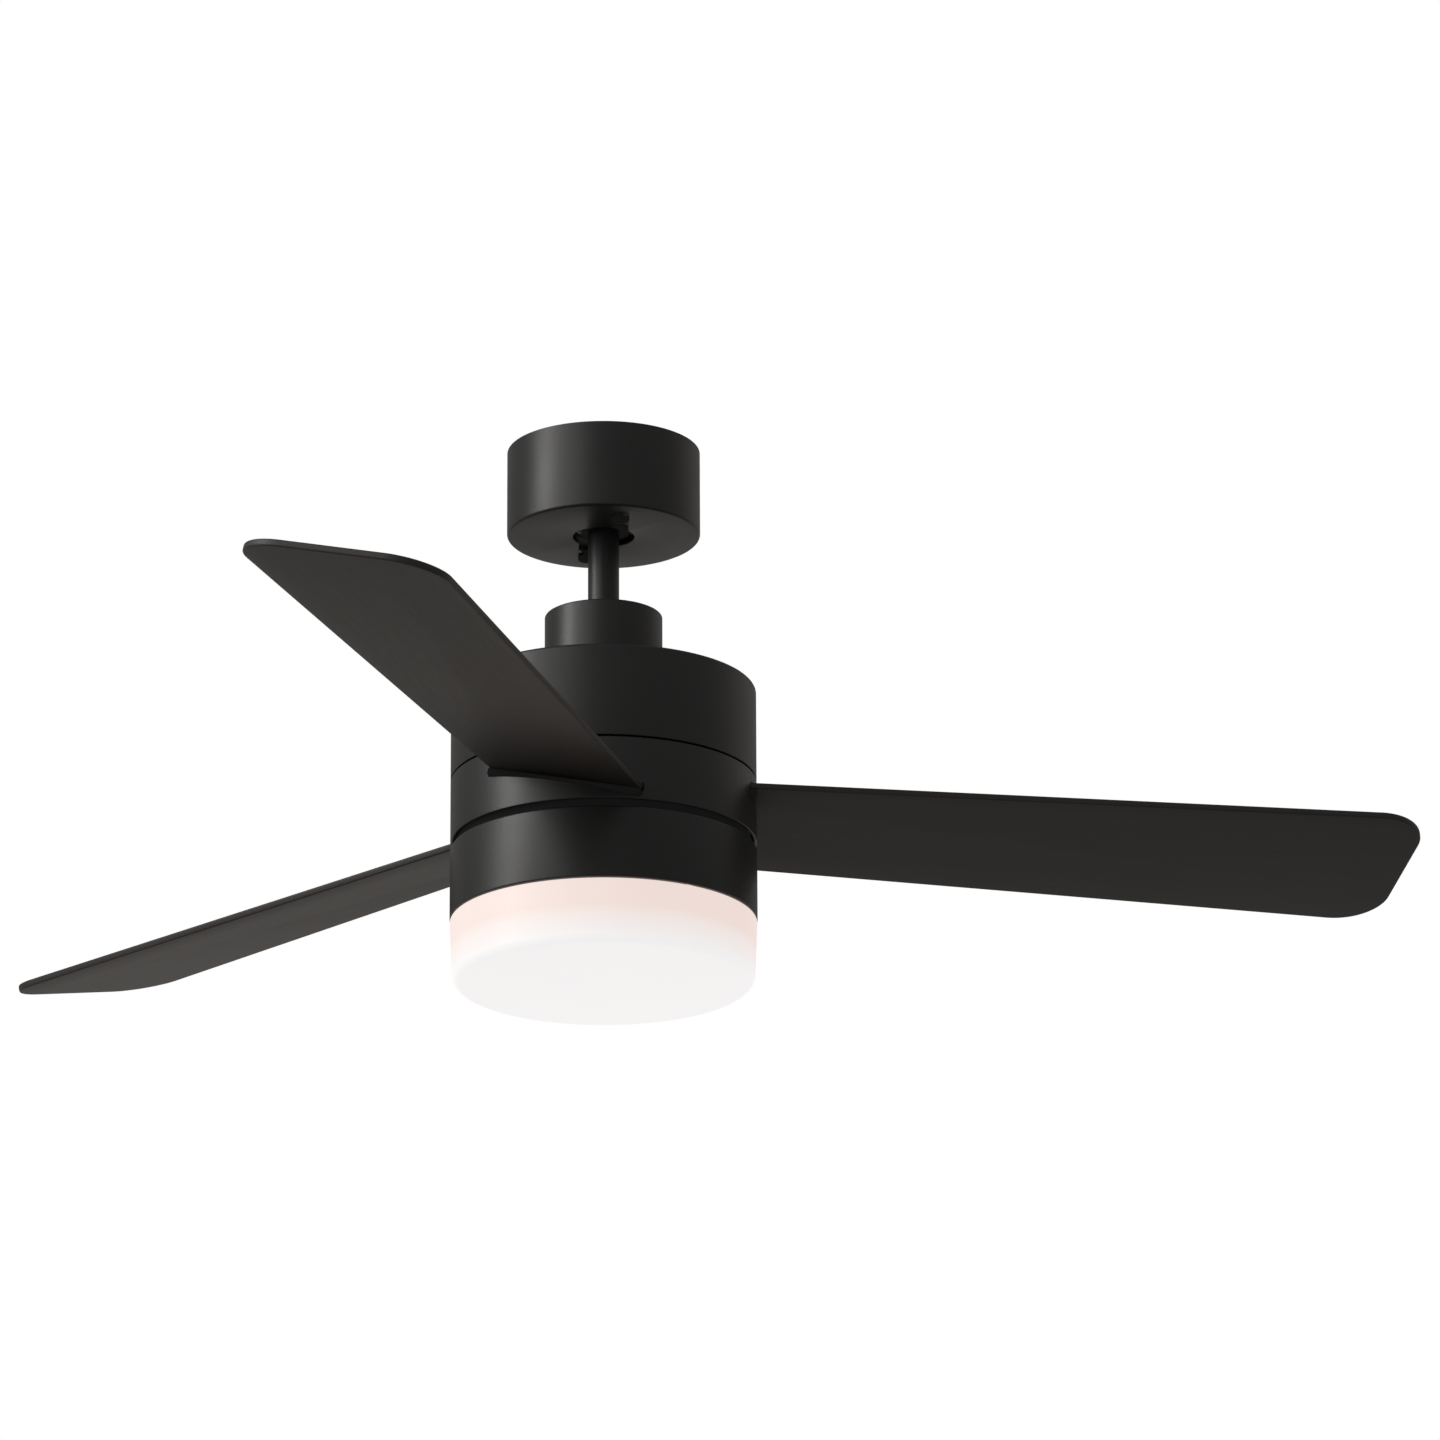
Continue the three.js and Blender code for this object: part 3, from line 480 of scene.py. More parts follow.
black_plastic = moulded_plastic("black_plastic", rgb(24, 24, 25), rgb(34, 34, 35), 0.42)
white_plastic = moulded_plastic("white_plastic", rgb(214, 214, 210), rgb(232, 232, 228), 0.42)
board_mask = moulded_plastic("white_solder_mask", rgb(236, 236, 232), rgb(248, 248, 245), 0.3, 0.00002)
diode = moulded_plastic("diode_phosphor", rgb(236, 208, 92), rgb(246, 224, 130), 0.3, 0.00002)
connector_orange = moulded_plastic("connector_orange", rgb(206, 96, 30), rgb(226, 120, 48), 0.35)
SLEEVE_COLOURS = {
    "black": (rgb(22, 22, 23), rgb(32, 32, 33)),
    "white": (rgb(218, 218, 214), rgb(232, 232, 228)),
    "green": (rgb(28, 104, 52), rgb(44, 128, 70)),
    "blue": (rgb(26, 58, 138), rgb(44, 78, 158)),
    "red": (rgb(150, 26, 24), rgb(176, 44, 40)),
}
sleeves = {
    key: moulded_plastic(f"{key}_sleeve", *colours, 0.45, 0.00002)
    for key, colours in SLEEVE_COLOURS.items()
}
print("plastics:", 5, " sleeves:", len(sleeves))

# %% [markdown]
# ## Turned shapes
#
# Most of this fan is spun or turned: take the outline of half a section and carry it round
# the axis. It could be a Screw modifier. A small Geometry Nodes tree shows the rule more
# plainly: a grid has one row for each point of the outline and one column for each step
# round the circle, and each grid point is moved to its place by sine and cosine.

# %% A tree for turned shapes


class ShapeTree(Nodes):
    """A Geometry Nodes tree that takes a shape, a finish and other named inputs."""

    def __init__(self, name, inputs):
        super().__init__(bpy.data.node_groups.new(name, "GeometryNodeTree"))
        for label, kind in {"Geometry": "Geometry", **inputs, "Finish": "Material"}.items():
            self.tree.interface.new_socket(label, in_out="INPUT", socket_type="NodeSocket" + kind)
        self.tree.interface.new_socket("Geometry", in_out="OUTPUT", socket_type="NodeSocketGeometry")
        self.start = self.tree.nodes.new("NodeGroupInput")

    def given(self, label):
        return Signal(self, self.start.outputs[label])

    def copies(self, pattern, points, rotation):
        """Copies of an input object on points."""
        shape = self.node("GeometryNodeObjectInfo", {"transform_space": "ORIGINAL"}, {
            "Object": self.given(pattern)}, "Geometry")
        return self.node("GeometryNodeInstanceOnPoints", None, {
            "Points": points, "Instance": shape, "Rotation": rotation})

    def deliver(self, shape):
        """Makes the shape real, gives it the finish and sends it out."""
        real = self.node("GeometryNodeRealizeInstances", None, {0: shape})
        painted = self.node("GeometryNodeSetMaterial", None, {
            "Geometry": real, "Material": self.given("Finish")})
        self.feed(self.tree.nodes.new("NodeGroupOutput").inputs[0], painted)
        return self.tree


def turned_tree():
    tree = ShapeTree("Turned shape", {"Sides": "Int"})
    outline = tree.given("Geometry")
    rows = tree.node("GeometryNodeAttributeDomainSize", None, {0: outline}, "Point Count")
    grid = tree.node("GeometryNodeMeshGrid", None, {
        "Size X": 1.0, "Size Y": 1.0, "Vertices X": tree.given("Sides") + 1.0, "Vertices Y": rows}, "Mesh")
    place = tree.node("GeometryNodeInputPosition")
    turn = (tree.split(place, "X") + 0.5) * math.tau
    row = ((tree.split(place, "Y") + 0.5) * (rows - 1.0)).math("ROUND")
    point = tree.node("GeometryNodeSampleIndex", {"data_type": "FLOAT_VECTOR"}, {
        "Geometry": outline, "Value": place, "Index": row})
    radius = tree.split(point, "X")
    moved = tree.node("ShaderNodeCombineXYZ", None, {
        "X": radius * turn.math("COSINE"), "Y": radius * turn.math("SINE"), "Z": tree.split(point, "Z")})
    shape = tree.node("GeometryNodeSetPosition", None, {"Geometry": grid, "Position": moved})
    closed = tree.node("GeometryNodeMergeByDistance", None, {"Geometry": shape, "Distance": 0.000004})
    return tree.deliver(closed)


TURNED = turned_tree()
print("tree:", TURNED.name, "with", len(TURNED.nodes), "nodes")

# %% [markdown]
# A tree leaves its result on a modifier. The finished piece has to be a plain mesh, so the
# evaluated object is copied into a new mesh and the helper is thrown away. The copy is
# also merged, its faces are turned outwards, and edges sharper than 30 degrees stay crisp.

# %% Turn a tree's result into a plain piece


def new_object(name, mesh):
    made = bpy.data.objects.new(name, mesh)
    bpy.context.scene.collection.objects.link(made)
    return made


def tidy_mesh(mesh, crease=30.0):
    """Merges doubles, turns the faces outwards and shades smooth up to the crease angle."""
    work = bmesh.new()
    work.from_mesh(mesh)
    bmesh.ops.remove_doubles(work, verts=work.verts, dist=0.000003)
    loose = [face for face in work.faces if face.calc_area() < 1e-13]
    bmesh.ops.delete(work, geom=loose, context="FACES_ONLY")
    bmesh.ops.recalc_face_normals(work, faces=work.faces)
    work.to_mesh(mesh)
    work.free()
    mesh.shade_smooth()
    mesh.set_sharp_from_angle(angle=math.radians(crease))
    return mesh


def plain_copy(source, name, crease=30.0):
    """The evaluated shape of an object as a new plain object. The source is removed."""
    graph = bpy.context.evaluated_depsgraph_get()
    mesh = bpy.data.meshes.new_from_object(source.evaluated_get(graph))
    mesh.name = name
    bpy.data.objects.remove(source, do_unlink=True)
    return new_object(name, tidy_mesh(mesh, crease))


def run_tree(source, tree, name, values, crease=30.0):
    """Runs a tree on an object with its named inputs set, and returns the plain result."""
    modifier = source.modifiers.new(tree.name, "NODES")
    modifier.node_group = tree
    for item in tree.interface.items_tree:
        if item.in_out == "INPUT" and item.name in values:
            modifier[item.identifier] = values[item.name]
    return plain_copy(source, name, crease)


def rounded(corners, steps=5):
    """An outline of (radius, height, rounding) corners, each rounded by an arc."""
    outline = []
    for index, (r, z, rounding) in enumerate(corners):
        here = Vector((r, z))
        if rounding <= 0.0:
            outline.append(here)
            continue
        before = (Vector(corners[index - 1][:2]) - here).normalized()
        after = (Vector(corners[(index + 1) % len(corners)][:2]) - here).normalized()
        half = before.angle(after) / 2
        centre = here + (before + after).normalized() * rounding / math.sin(half)
        start = here + before * rounding / math.tan(half) - centre
        end = here + after * rounding / math.tan(half) - centre
        turn = start.angle_signed(end)
        for step in range(steps + 1):
            point = start.copy()
            point.rotate(Matrix.Rotation(-turn * step / steps, 2))
            outline.append(centre + point)
    return outline


def turned(name, corners, finish, sides=160, steps=5):
    """A turned piece. An outline that stays off the axis is closed on itself."""
    outline = rounded(corners, steps)
    if outline[0].x > 1e-6:
        outline.append(outline[0])
    mesh = bpy.data.meshes.new(name)
    mesh.from_pydata([(p.x, 0.0, p.y) for p in outline], [], [])
    source = new_object(name + "_outline", mesh)
    return run_tree(source, TURNED, name, {"Sides": sides, "Finish": finish})


def cut_by(piece, cutters, operation="DIFFERENCE", crease=30.0):
    """Cuts, joins or intersects a piece with others, which are used up."""
    for cutter in cutters:
        step = piece.modifiers.new("cut", "BOOLEAN")
        step.operation = operation
        step.solver = "EXACT"
        step.object = cutter
    name = piece.name
    piece.name = name + "_before"
    result = plain_copy(piece, name, crease)
    for cutter in cutters:
        bpy.data.objects.remove(cutter, do_unlink=True)
    return result


def prism(name, outline, low, high, finish=None):
    """A straight bar whose section is an outline of (x, y) points, from low to high in z."""
    mesh = bpy.data.meshes.new(name)
    count = len(outline)
    points = [(x, y, low) for x, y in outline] + [(x, y, high) for x, y in outline]
    sides = [(i, (i + 1) % count, count + (i + 1) % count, count + i) for i in range(count)]
    mesh.from_pydata(points, [], sides + [tuple(range(count))[::-1], tuple(range(count, 2 * count))])
    if finish:
        mesh.materials.append(finish)
    return new_object(name, tidy_mesh(mesh))


def move_mesh(piece, matrix):
    piece.data.transform(matrix)
    return piece


def place_piece(piece, body, slot, *replaced):
    """Gives a finished piece its body and hides the model pieces it stands for. The slot is not used."""
    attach(piece, body)
    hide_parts(*replaced)
    print(f"{piece.name}: {len(piece.data.polygons)} faces on {body}")
    return piece


print("shape helpers ready")

# %% [markdown]
# ## The canopy
#
# The canopy is a deep cup pressed from sheet steel. It hides the bracket and the wires.
# Its outline is turned, then two slots are cut for the screws. Each slot has round ends
# and a small tooth that keeps a loose screw from sliding out.

# %% Cutters and the canopy


def arc_points(centre, radius, start, end, steps):
    """Points on an arc, with the angles in degrees."""
    turns = [math.radians(start + (end - start) * i / steps) for i in range(steps + 1)]
    return [(centre[0] + radius * math.cos(t), centre[1] + radius * math.sin(t)) for t in turns]


def on_circle(radius, angle):
    return (radius * math.cos(angle), radius * math.sin(angle))


def round_bar(name, radius, low, high, place=(0.0, 0.0), sides=32):
    """A round cutter along Z."""
    return prism(name, arc_points(place, radius, 0, 360 - 360 / sides, sides - 1), low, high)


def round_bars(name, radius, low, high, circle, angles, sides=20):
    """Equal round cutters at the given angles on a circle."""
    return [round_bar(name, radius, low, high, on_circle(circle, a), sides) for a in angles]


def box_bar(name, low, high):
    """A rectangular cutter between two opposite corners."""
    outline = [(low[0], low[1]), (high[0], low[1]), (high[0], high[1]), (low[0], high[1])]
    return prism(name, outline, low[2], high[2])


def slot_outline(inner, outer, start, end, corner, tooth_y, tooth_half, tooth_depth):
    """One slot of the canopy's floor, along -Y: rounded at its end, with a tooth outside."""
    low_left = arc_points((inner + corner, -end + corner), corner, 180, 270, 6)
    low_right = arc_points((outer - corner, -end + corner), corner, 270, 360, 6)
    tooth = [(outer, -tooth_y - tooth_half), (outer - tooth_depth, -tooth_y), (outer, -tooth_y + tooth_half)]
    return [(inner, -start)] + low_left + low_right + tooth + [(outer, -start)]


HOLE_RADIUS = 24.5 * MM
canopy = turned("canopy_cup", [
    (CANOPY_RADIUS, CANOPY_TOP, 0.5 * MM),
    (CANOPY_RADIUS, CANOPY_BOTTOM, 2.2 * MM),
    (HOLE_RADIUS, CANOPY_BOTTOM, 0.5 * MM),
    (HOLE_RADIUS, CANOPY_BOTTOM + SHEET, 0.5 * MM),
    (CANOPY_RADIUS - SHEET, CANOPY_BOTTOM + SHEET, 0.9 * MM),
    (CANOPY_RADIUS - SHEET, CANOPY_TOP, 0.5 * MM),
], black_coat, 192)
SLOT_SIDES, SLOT_ENDS, SLOT_CORNER = (7.2 * MM, 19.8 * MM), (12 * MM, 57 * MM), 4.6 * MM
SLOT_TOOTH = (37 * MM, 2.4 * MM, 1.8 * MM)
slot_shape = slot_outline(*SLOT_SIDES, *SLOT_ENDS, SLOT_CORNER, *SLOT_TOOTH)
slots = []
for half_turn in (0, 1):
    cutter = prism("slot_cutter", slot_shape, CANOPY_BOTTOM - 3 * MM, CANOPY_BOTTOM + 6 * MM)
    slots.append(move_mesh(cutter, Matrix.Rotation(math.pi * half_turn, 4, "Z")))
canopy = cut_by(canopy, slots)
place_piece(canopy, "ceiling_mount", "black_paint", "canopy")

# %% [markdown]
# ## Rod, cover and upper drum
#
# The rod is a steel tube, painted with the rest. Its two cross holes take the pins. The
# cover is a small spun cup that slides on the rod and hides the joint, and the upper drum
# hides the motor. All have folded edges, so no edge is knife sharp.

# %% Turn the rod, the cover and the upper drum


def cross_bar(name, radius, axis, height):
    """A round cutter through the axis of the fan, along X or Y."""
    bar = round_bar(name, radius, -CROSS_REACH, CROSS_REACH)
    turn = Matrix.Rotation(math.pi / 2, 4, "Y" if axis == "X" else "X")
    return move_mesh(bar, Matrix.Translation((0.0, 0.0, height)) @ turn)


CROSS_REACH, PIN_HOLE = 20 * MM, 3.3 * MM
ROD_WALL = 2.0 * MM
CROSS_PIN = -40 * MM
CLEVIS_PIN = -168 * MM
rod = turned("rod_tube", [
    (ROD_RADIUS, ROD_TOP, 0.5 * MM),
    (ROD_RADIUS, ROD_BOTTOM, 0.5 * MM),
    (ROD_RADIUS - ROD_WALL, ROD_BOTTOM, 0.4 * MM),
    (ROD_RADIUS - ROD_WALL, ROD_TOP, 0.4 * MM),
], black_coat, 96)
rod = cut_by(rod, [
    cross_bar("pin_hole", PIN_HOLE, "Y", CROSS_PIN),
    cross_bar("pin_hole", PIN_HOLE, "X", CLEVIS_PIN),
])
place_piece(rod, "hung_fan", "black_paint", "downrod")

cover = turned("cover_cup", [
    (COVER_RADIUS, COVER_TOP, 1.5 * MM),
    (COVER_RADIUS, COVER_BOTTOM, 0.5 * MM),
    (COVER_RADIUS - SHEET, COVER_BOTTOM, 0.5 * MM),
    (COVER_RADIUS - SHEET, COVER_TOP - SHEET, 0.6 * MM),
    (ROD_RADIUS + 0.8 * MM, COVER_TOP - SHEET, 0.4 * MM),
    (ROD_RADIUS + 0.8 * MM, COVER_TOP, 0.5 * MM),
], black_coat, 160)
place_piece(cover, "coupling_cover", "black_paint", "coupling_cover")

HOUSING_BORE = 11 * MM
SCREW_ANGLES = [math.radians(a) for a in (30, 150, 270)]
FLANGE_CIRCLE = 30 * MM
housing = turned("upper_drum", [
    (HOUSING_BORE, HOUSING_TOP, 0.0),
    (DRUM_RADIUS, HOUSING_TOP, 2.6 * MM),
    (DRUM_RADIUS, HOUSING_BOTTOM, 0.6 * MM),
    (DRUM_RADIUS - SHEET, HOUSING_BOTTOM, 0.5 * MM),
    (DRUM_RADIUS - SHEET, HOUSING_TOP - SHEET, 1.3 * MM),
    (HOUSING_BORE, HOUSING_TOP - SHEET, 0.0),
], black_coat, 224)
housing = cut_by(housing, round_bars(
    "screw_hole", 2.6 * MM, HOUSING_TOP - 4 * MM, HOUSING_TOP + 2 * MM, FLANGE_CIRCLE, SCREW_ANGLES, 24))
place_piece(housing, "hung_fan", "black_paint", "upper_housing")

# %% [markdown]
# ## The blades
#
# A blade is a flat board, cut with its corners round and its edges eased by a cutter. It is
# built as a stack of outlines: each level of the eased edge is the same outline, moved in by
# the amount that a quarter circle gives. The blade is drawn lying flat, gets its UV map
# there, and is then pitched and turned to its place.

# %% Build the three blades
BLADE_ROOT = 76 * MM
BLADE_TIP = 658.1 * MM
BLADE_THICK = 5.5 * MM
TIP_CORNER = 40 * MM
STATION = 147 * MM
TRAILING = (65.7 * MM, 0.028)
LEADING = (63.0 * MM, 0.042)
BLADE_HOLES = [(84 * MM, -32 * MM), (84 * MM, 32 * MM), (99 * MM, 0.0)]


def half_width(side, station):
    return side[0] + side[1] * (station - STATION)


def blade_outline(inset):
    """The blade's outline, moved in by the inset."""
    root, tip = BLADE_ROOT + inset, BLADE_TIP - inset
    corner = TIP_CORNER - inset
    centre_x = BLADE_TIP - TIP_CORNER
    low = TIP_CORNER - half_width(LEADING, centre_x)
    high = half_width(TRAILING, centre_x) - TIP_CORNER
    root_low = -half_width(LEADING, BLADE_ROOT) + inset
    root_high = half_width(TRAILING, BLADE_ROOT) - inset
    bevel = 8 * MM
    outline = [(root, root_low + bevel), (root + bevel, root_low)]
    outline += arc_points((centre_x, low), corner, -90, 0, 20)
    outline += arc_points((tip - corner, high), corner, 0, 90, 20)
    return outline + [(root + bevel, root_high), (root, root_high - bevel)]


def stacked(name, levels):
    """A closed body from matching outlines at rising heights, with flat ends."""
    points = [(x, y, z) for outline, z in levels for x, y in outline]
    count = len(levels[0][0])
    faces = []
    for level in range(len(levels) - 1):
        base = level * count
        for i in range(count):
            j = (i + 1) % count
            faces.append((base + i, base + j, base + count + j, base + count + i))
    faces.append(tuple(range(count))[::-1])
    faces.append(tuple(range(len(points) - count, len(points))))
    mesh = bpy.data.meshes.new(name)
    mesh.from_pydata(points, [], faces)
    return new_object(name, tidy_mesh(mesh, 40.0))


def eased_levels(outline_at, thickness, ease, steps=4):
    """Outlines for a board whose long edges are eased by a quarter circle above and below."""
    turns = [math.pi / 2 * i / steps for i in range(steps + 1)]
    lower = [(outline_at(ease * (1 - math.sin(t))), ease * (1 - math.cos(t))) for t in turns]
    upper = [(outline, thickness - z) for outline, z in reversed(lower)]
    return lower + upper


def at_blade(index):
    """From a blade lying flat to its place on the fan."""
    turn = Matrix.Rotation(FIRST_BLADE + math.tau * index / BLADES, 4, "Z")
    drop = Matrix.Translation((0.0, 0.0, BLADE_PLANE))
    return turn @ drop @ Matrix.Rotation(-PITCH, 4, "X")


for index in range(BLADES):
    blade = stacked(f"blade_board_{index + 1}", eased_levels(blade_outline, BLADE_THICK, 1.3 * MM))
    blade.data.materials.append(laminate)
    drills = [round_bar("blade_hole", 2.5 * MM, -MM, BLADE_THICK + MM, place, 20) for place in BLADE_HOLES]
    blade = cut_by(blade, drills, crease=40.0)
    along = blade.data.uv_layers.new(name="along_blade")
    for corner in blade.data.loops:
        flat = blade.data.vertices[corner.vertex_index].co
        along.data[corner.index].uv = (flat.x, flat.y)
    move_mesh(blade, at_blade(index))
    place_piece(blade, "rotor", "blade_black", f"blade_{index + 1}")

# %% [markdown]
# ## The turning band
#
# The band carries the blades out through three tilted openings. The drum is turned and
# the openings are cut through it. Under each blade an arm of the carrier comes out with it,
# and its square corners stand a little out of the round drum.

# %% Build the band
BAND_WALL = 2.4 * MM
WEB_TOP, WEB_BOTTOM, WEB_BORE = -281.0 * MM, -282.8 * MM, 28 * MM
band = turned("band_drum", [
    (DRUM_RADIUS, BAND_TOP, 0.6 * MM),
    (DRUM_RADIUS, BAND_BOTTOM, 1.0 * MM),
    (DRUM_RADIUS - BAND_WALL, BAND_BOTTOM, 0.5 * MM),
    (DRUM_RADIUS - BAND_WALL, WEB_BOTTOM, 0.4 * MM),
    (WEB_BORE, WEB_BOTTOM, 0.0),
    (WEB_BORE, WEB_TOP, 0.0),
    (DRUM_RADIUS - BAND_WALL, WEB_TOP, 0.4 * MM),
    (DRUM_RADIUS - BAND_WALL, BAND_TOP, 0.5 * MM),
], black_coat, 224)
WALL_STATION = DRUM_RADIUS - 15 * MM
SLOT_LOW = -half_width(LEADING, WALL_STATION)
SLOT_HIGH = half_width(TRAILING, WALL_STATION)
ARM_LOW, ARM_HIGH = -5.5 * MM, -0.3 * MM


def frame_outline(ends, below, above, corners, steps=6):
    """A rounded rectangle across the blade. The corners go round from the low one at +Y."""
    left, right = SLOT_LOW - ends, SLOT_HIGH + ends
    low, high = -below, BLADE_THICK + above
    a, b, c, d = corners
    outline = arc_points((right - a, low + a), a, -90, 0, steps)
    outline += arc_points((right - b, high - b), b, 0, 90, steps)
    outline += arc_points((left + c, high - c), c, 90, 180, steps)
    return outline + arc_points((left + d, low + d), d, 180, 270, steps)


def bar_along(name, outline, start, end, index, finish=None):
    """A bar that runs out along a blade, with its outline given across the blade."""
    stand = Matrix(((0, 0, 1, 0), (1, 0, 0, 0), (0, 1, 0, 0), (0, 0, 0, 1)))
    return move_mesh(prism(name, outline, start, end, finish), at_blade(index) @ stand)


GAP_ENDS, GAP_BELOW, GAP_ABOVE = 1.2 * MM, 6.1 * MM, 1.8 * MM
GAP_CORNERS = (3.2 * MM, 2.6 * MM, 2.6 * MM, 1.2 * MM)
opening = frame_outline(GAP_ENDS, GAP_BELOW, GAP_ABOVE, GAP_CORNERS)
cut_from, cut_to = 90 * MM, 140 * MM
cutters = [bar_along("opening", opening, cut_from, cut_to, index) for index in range(BLADES)]
CARRIER_SCREWS = [FIRST_BLADE + math.tau * i / 3 for i in range(3)]
CARRIER_CIRCLE = 46 * MM
SCREW_HOLE = 2.4 * MM
band = cut_by(band, cutters + round_bars(
    "web_hole", SCREW_HOLE, WEB_BOTTOM - MM, WEB_TOP + MM, CARRIER_CIRCLE, CARRIER_SCREWS))
place_piece(band, "rotor", "black_paint", "blade_band")

# %% [markdown]
# ## The carrier
#
# One casting holds the blades: a ring under the rotor, a wall that hangs from it and three
# arms. Ring and wall are turned as one. Each arm is a bar with the blade's own slope and
# rounded corners.

# %% Cast the carrier
CARRIER_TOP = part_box("blade_carrier")[1].z
HUB_OUTER, HUB_INNER, HUB_BORE = 68 * MM, 63 * MM, 26 * MM
HUB_BOTTOM, HUB_FLOOR = -327 * MM, 6 * MM
ARM_START, ARM_END = 65 * MM, 110 * MM
# The casting and its arms are black, and they get the darkest coat: its extra darkness is painted shade under
# the blades, with a faint painted glow.
carrier = turned("cast_carrier", [
    (HUB_OUTER, CARRIER_TOP, 0.8 * MM),
    (HUB_OUTER, HUB_BOTTOM, 0.8 * MM),
    (HUB_INNER, HUB_BOTTOM, 0.8 * MM),
    (HUB_INNER, CARRIER_TOP - HUB_FLOOR, 1.6 * MM),
    (HUB_BORE, CARRIER_TOP - HUB_FLOOR, 0.5 * MM),
    (HUB_BORE, CARRIER_TOP, 0.5 * MM),
], painted_shade_coat, 128)
arm_corners = (4.2 * MM, 0.4 * MM, 0.4 * MM, 0.6 * MM)
arm_outline = frame_outline(0.0, -ARM_LOW, -BLADE_THICK + ARM_HIGH, arm_corners)
arms = [bar_along("arm", arm_outline, ARM_START, ARM_END, index, painted_shade_coat) for index in range(BLADES)]
carrier = cut_by(carrier, arms, "UNION")
arm_holes = [
    move_mesh(round_bar("arm_hole", SCREW_HOLE, ARM_LOW - MM, ARM_HIGH + MM, place, 20), at_blade(index))
    for index in range(BLADES) for place in BLADE_HOLES
]
carrier = cut_by(carrier, arm_holes + round_bars(
    "ring_hole", SCREW_HOLE, CARRIER_TOP - 8 * MM, CARRIER_TOP + MM, CARRIER_CIRCLE, CARRIER_SCREWS))
place_piece(carrier, "rotor", "black_paint", "blade_carrier")

# %% [markdown]
# ## The light
#
# The light is a black pan with an opal glass bowl under it. The bowl's neck reaches up into
# the pan, and three lugs on it rest on the pan's inward flange. The flange has three notches
# 20 degrees further on, which let the lugs pass when the bowl is turned.

# %% Turn the pan and the bowl
NECK_RADIUS = 111.9 * MM
FLANGE_INNER = NECK_RADIUS + 0.9 * MM
PAN_WALL = 1.8 * MM
LUG_ANGLES = [math.radians(a) for a in (50, 170, 290)]
BOSS_ANGLES = [math.radians(a) for a in (330, 210)]
BOARD_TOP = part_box("led_board")[1].z


def radial_block(name, inner, outer, half_side, low, high, angle):
    """A block that points out from the axis at an angle."""
    outline = [(inner, -half_side), (outer, -half_side), (outer, half_side), (inner, half_side)]
    return move_mesh(prism(name, outline, low, high), Matrix.Rotation(angle, 4, "Z"))


RIM_TOP = -333.6 * MM
COLLAR_OUTER, COLLAR_INNER, COLLAR_TOP = 116.8 * MM, 114.8 * MM, RING_TOP
PAN_BORE = 20 * MM
PAN_CIRCLE, BOARD_CIRCLE = 40 * MM, 78 * MM
BOARD_HOLE = 1.9 * MM
pan = turned("light_pan", [
    (PAN_BORE, RIM_TOP, 0.5 * MM),
    (COLLAR_INNER, RIM_TOP, 0.3 * MM),
    (COLLAR_INNER, COLLAR_TOP, 0.5 * MM),
    (COLLAR_OUTER, COLLAR_TOP, 0.5 * MM),
    (COLLAR_OUTER, RIM_TOP, 0.3 * MM),
    (RING_RADIUS, RIM_TOP, 1.6 * MM),
    (RING_RADIUS, RING_BOTTOM, 1.4 * MM),
    (FLANGE_INNER, RING_BOTTOM, 0.4 * MM),
    (FLANGE_INNER, RING_BOTTOM + 2 * MM, 0.4 * MM),
    (RING_RADIUS - PAN_WALL, RING_BOTTOM + 2 * MM, 0.0),
    (RING_RADIUS - PAN_WALL, RIM_TOP - SHEET, 0.8 * MM),
    (PAN_BORE, RIM_TOP - SHEET, 0.5 * MM),
], black_coat, 224)
pan = cut_by(pan, round_bars(
    "boss", 5 * MM, BOARD_TOP + 0.3 * MM, RIM_TOP - 1.1 * MM, BOARD_CIRCLE, BOSS_ANGLES, 32), "UNION")
pan_cuts = round_bars(
    "boss_hole", BOARD_HOLE, BOARD_TOP - MM, RIM_TOP - 3.6 * MM, BOARD_CIRCLE, BOSS_ANGLES)
pan_cuts += round_bars("screw_hole", SCREW_HOLE, RIM_TOP - 3 * MM, RIM_TOP + MM, PAN_CIRCLE, SCREW_ANGLES)
pan_cuts += [
    radial_block("notch", 107 * MM, 117.5 * MM, 14 * MM, RING_BOTTOM - MM, RING_BOTTOM + 3 * MM,
                 a + math.radians(20))
    for a in LUG_ANGLES
]
pan = cut_by(pan, pan_cuts)
# The collar's faces keep the pan's black paint but get the darkest coat: painted shade in the gap under the
# band, with a faint painted glow.
pan.data.materials.append(painted_shade_coat)
painted_shade_index = len(pan.data.materials) - 1
for face in pan.data.polygons:
    if face.center.z > RIM_TOP + 0.2 * MM:
        face.material_index = painted_shade_index
place_piece(pan, "hung_fan", "black_paint", "light_ring")

GLASS_WALL = 3 * MM
SHOULDER = RING_BOTTOM - 0.9 * MM
GLASS_BASE = 118.6 * MM
bowl = turned("glass_bowl", [
    (0.0, GLASS_BOTTOM, 0.0),
    (GLASS_BASE, GLASS_BOTTOM, 7 * MM),
    (DRUM_RADIUS, SHOULDER, 0.9 * MM),
    (NECK_RADIUS, SHOULDER, 0.0),
    (NECK_RADIUS, GLASS_TOP, 1.2 * MM),
    (NECK_RADIUS - GLASS_WALL, GLASS_TOP, 1.2 * MM),
    (NECK_RADIUS - GLASS_WALL, SHOULDER - GLASS_WALL, 0.0),
    (DRUM_RADIUS - GLASS_WALL, SHOULDER - GLASS_WALL, 1.0 * MM),
    (GLASS_BASE - GLASS_WALL, GLASS_BOTTOM + GLASS_WALL, 4 * MM),
    (0.0, GLASS_BOTTOM + GLASS_WALL, 0.0),
], opal, 224)
lugs = [
    radial_block("lug", NECK_RADIUS - 1.5 * MM, 115.8 * MM, 10 * MM, RING_BOTTOM + 2.3 * MM,
                 RING_BOTTOM + 6 * MM, a)
    for a in LUG_ANGLES
]
bowl = cut_by(bowl, lugs, "UNION")
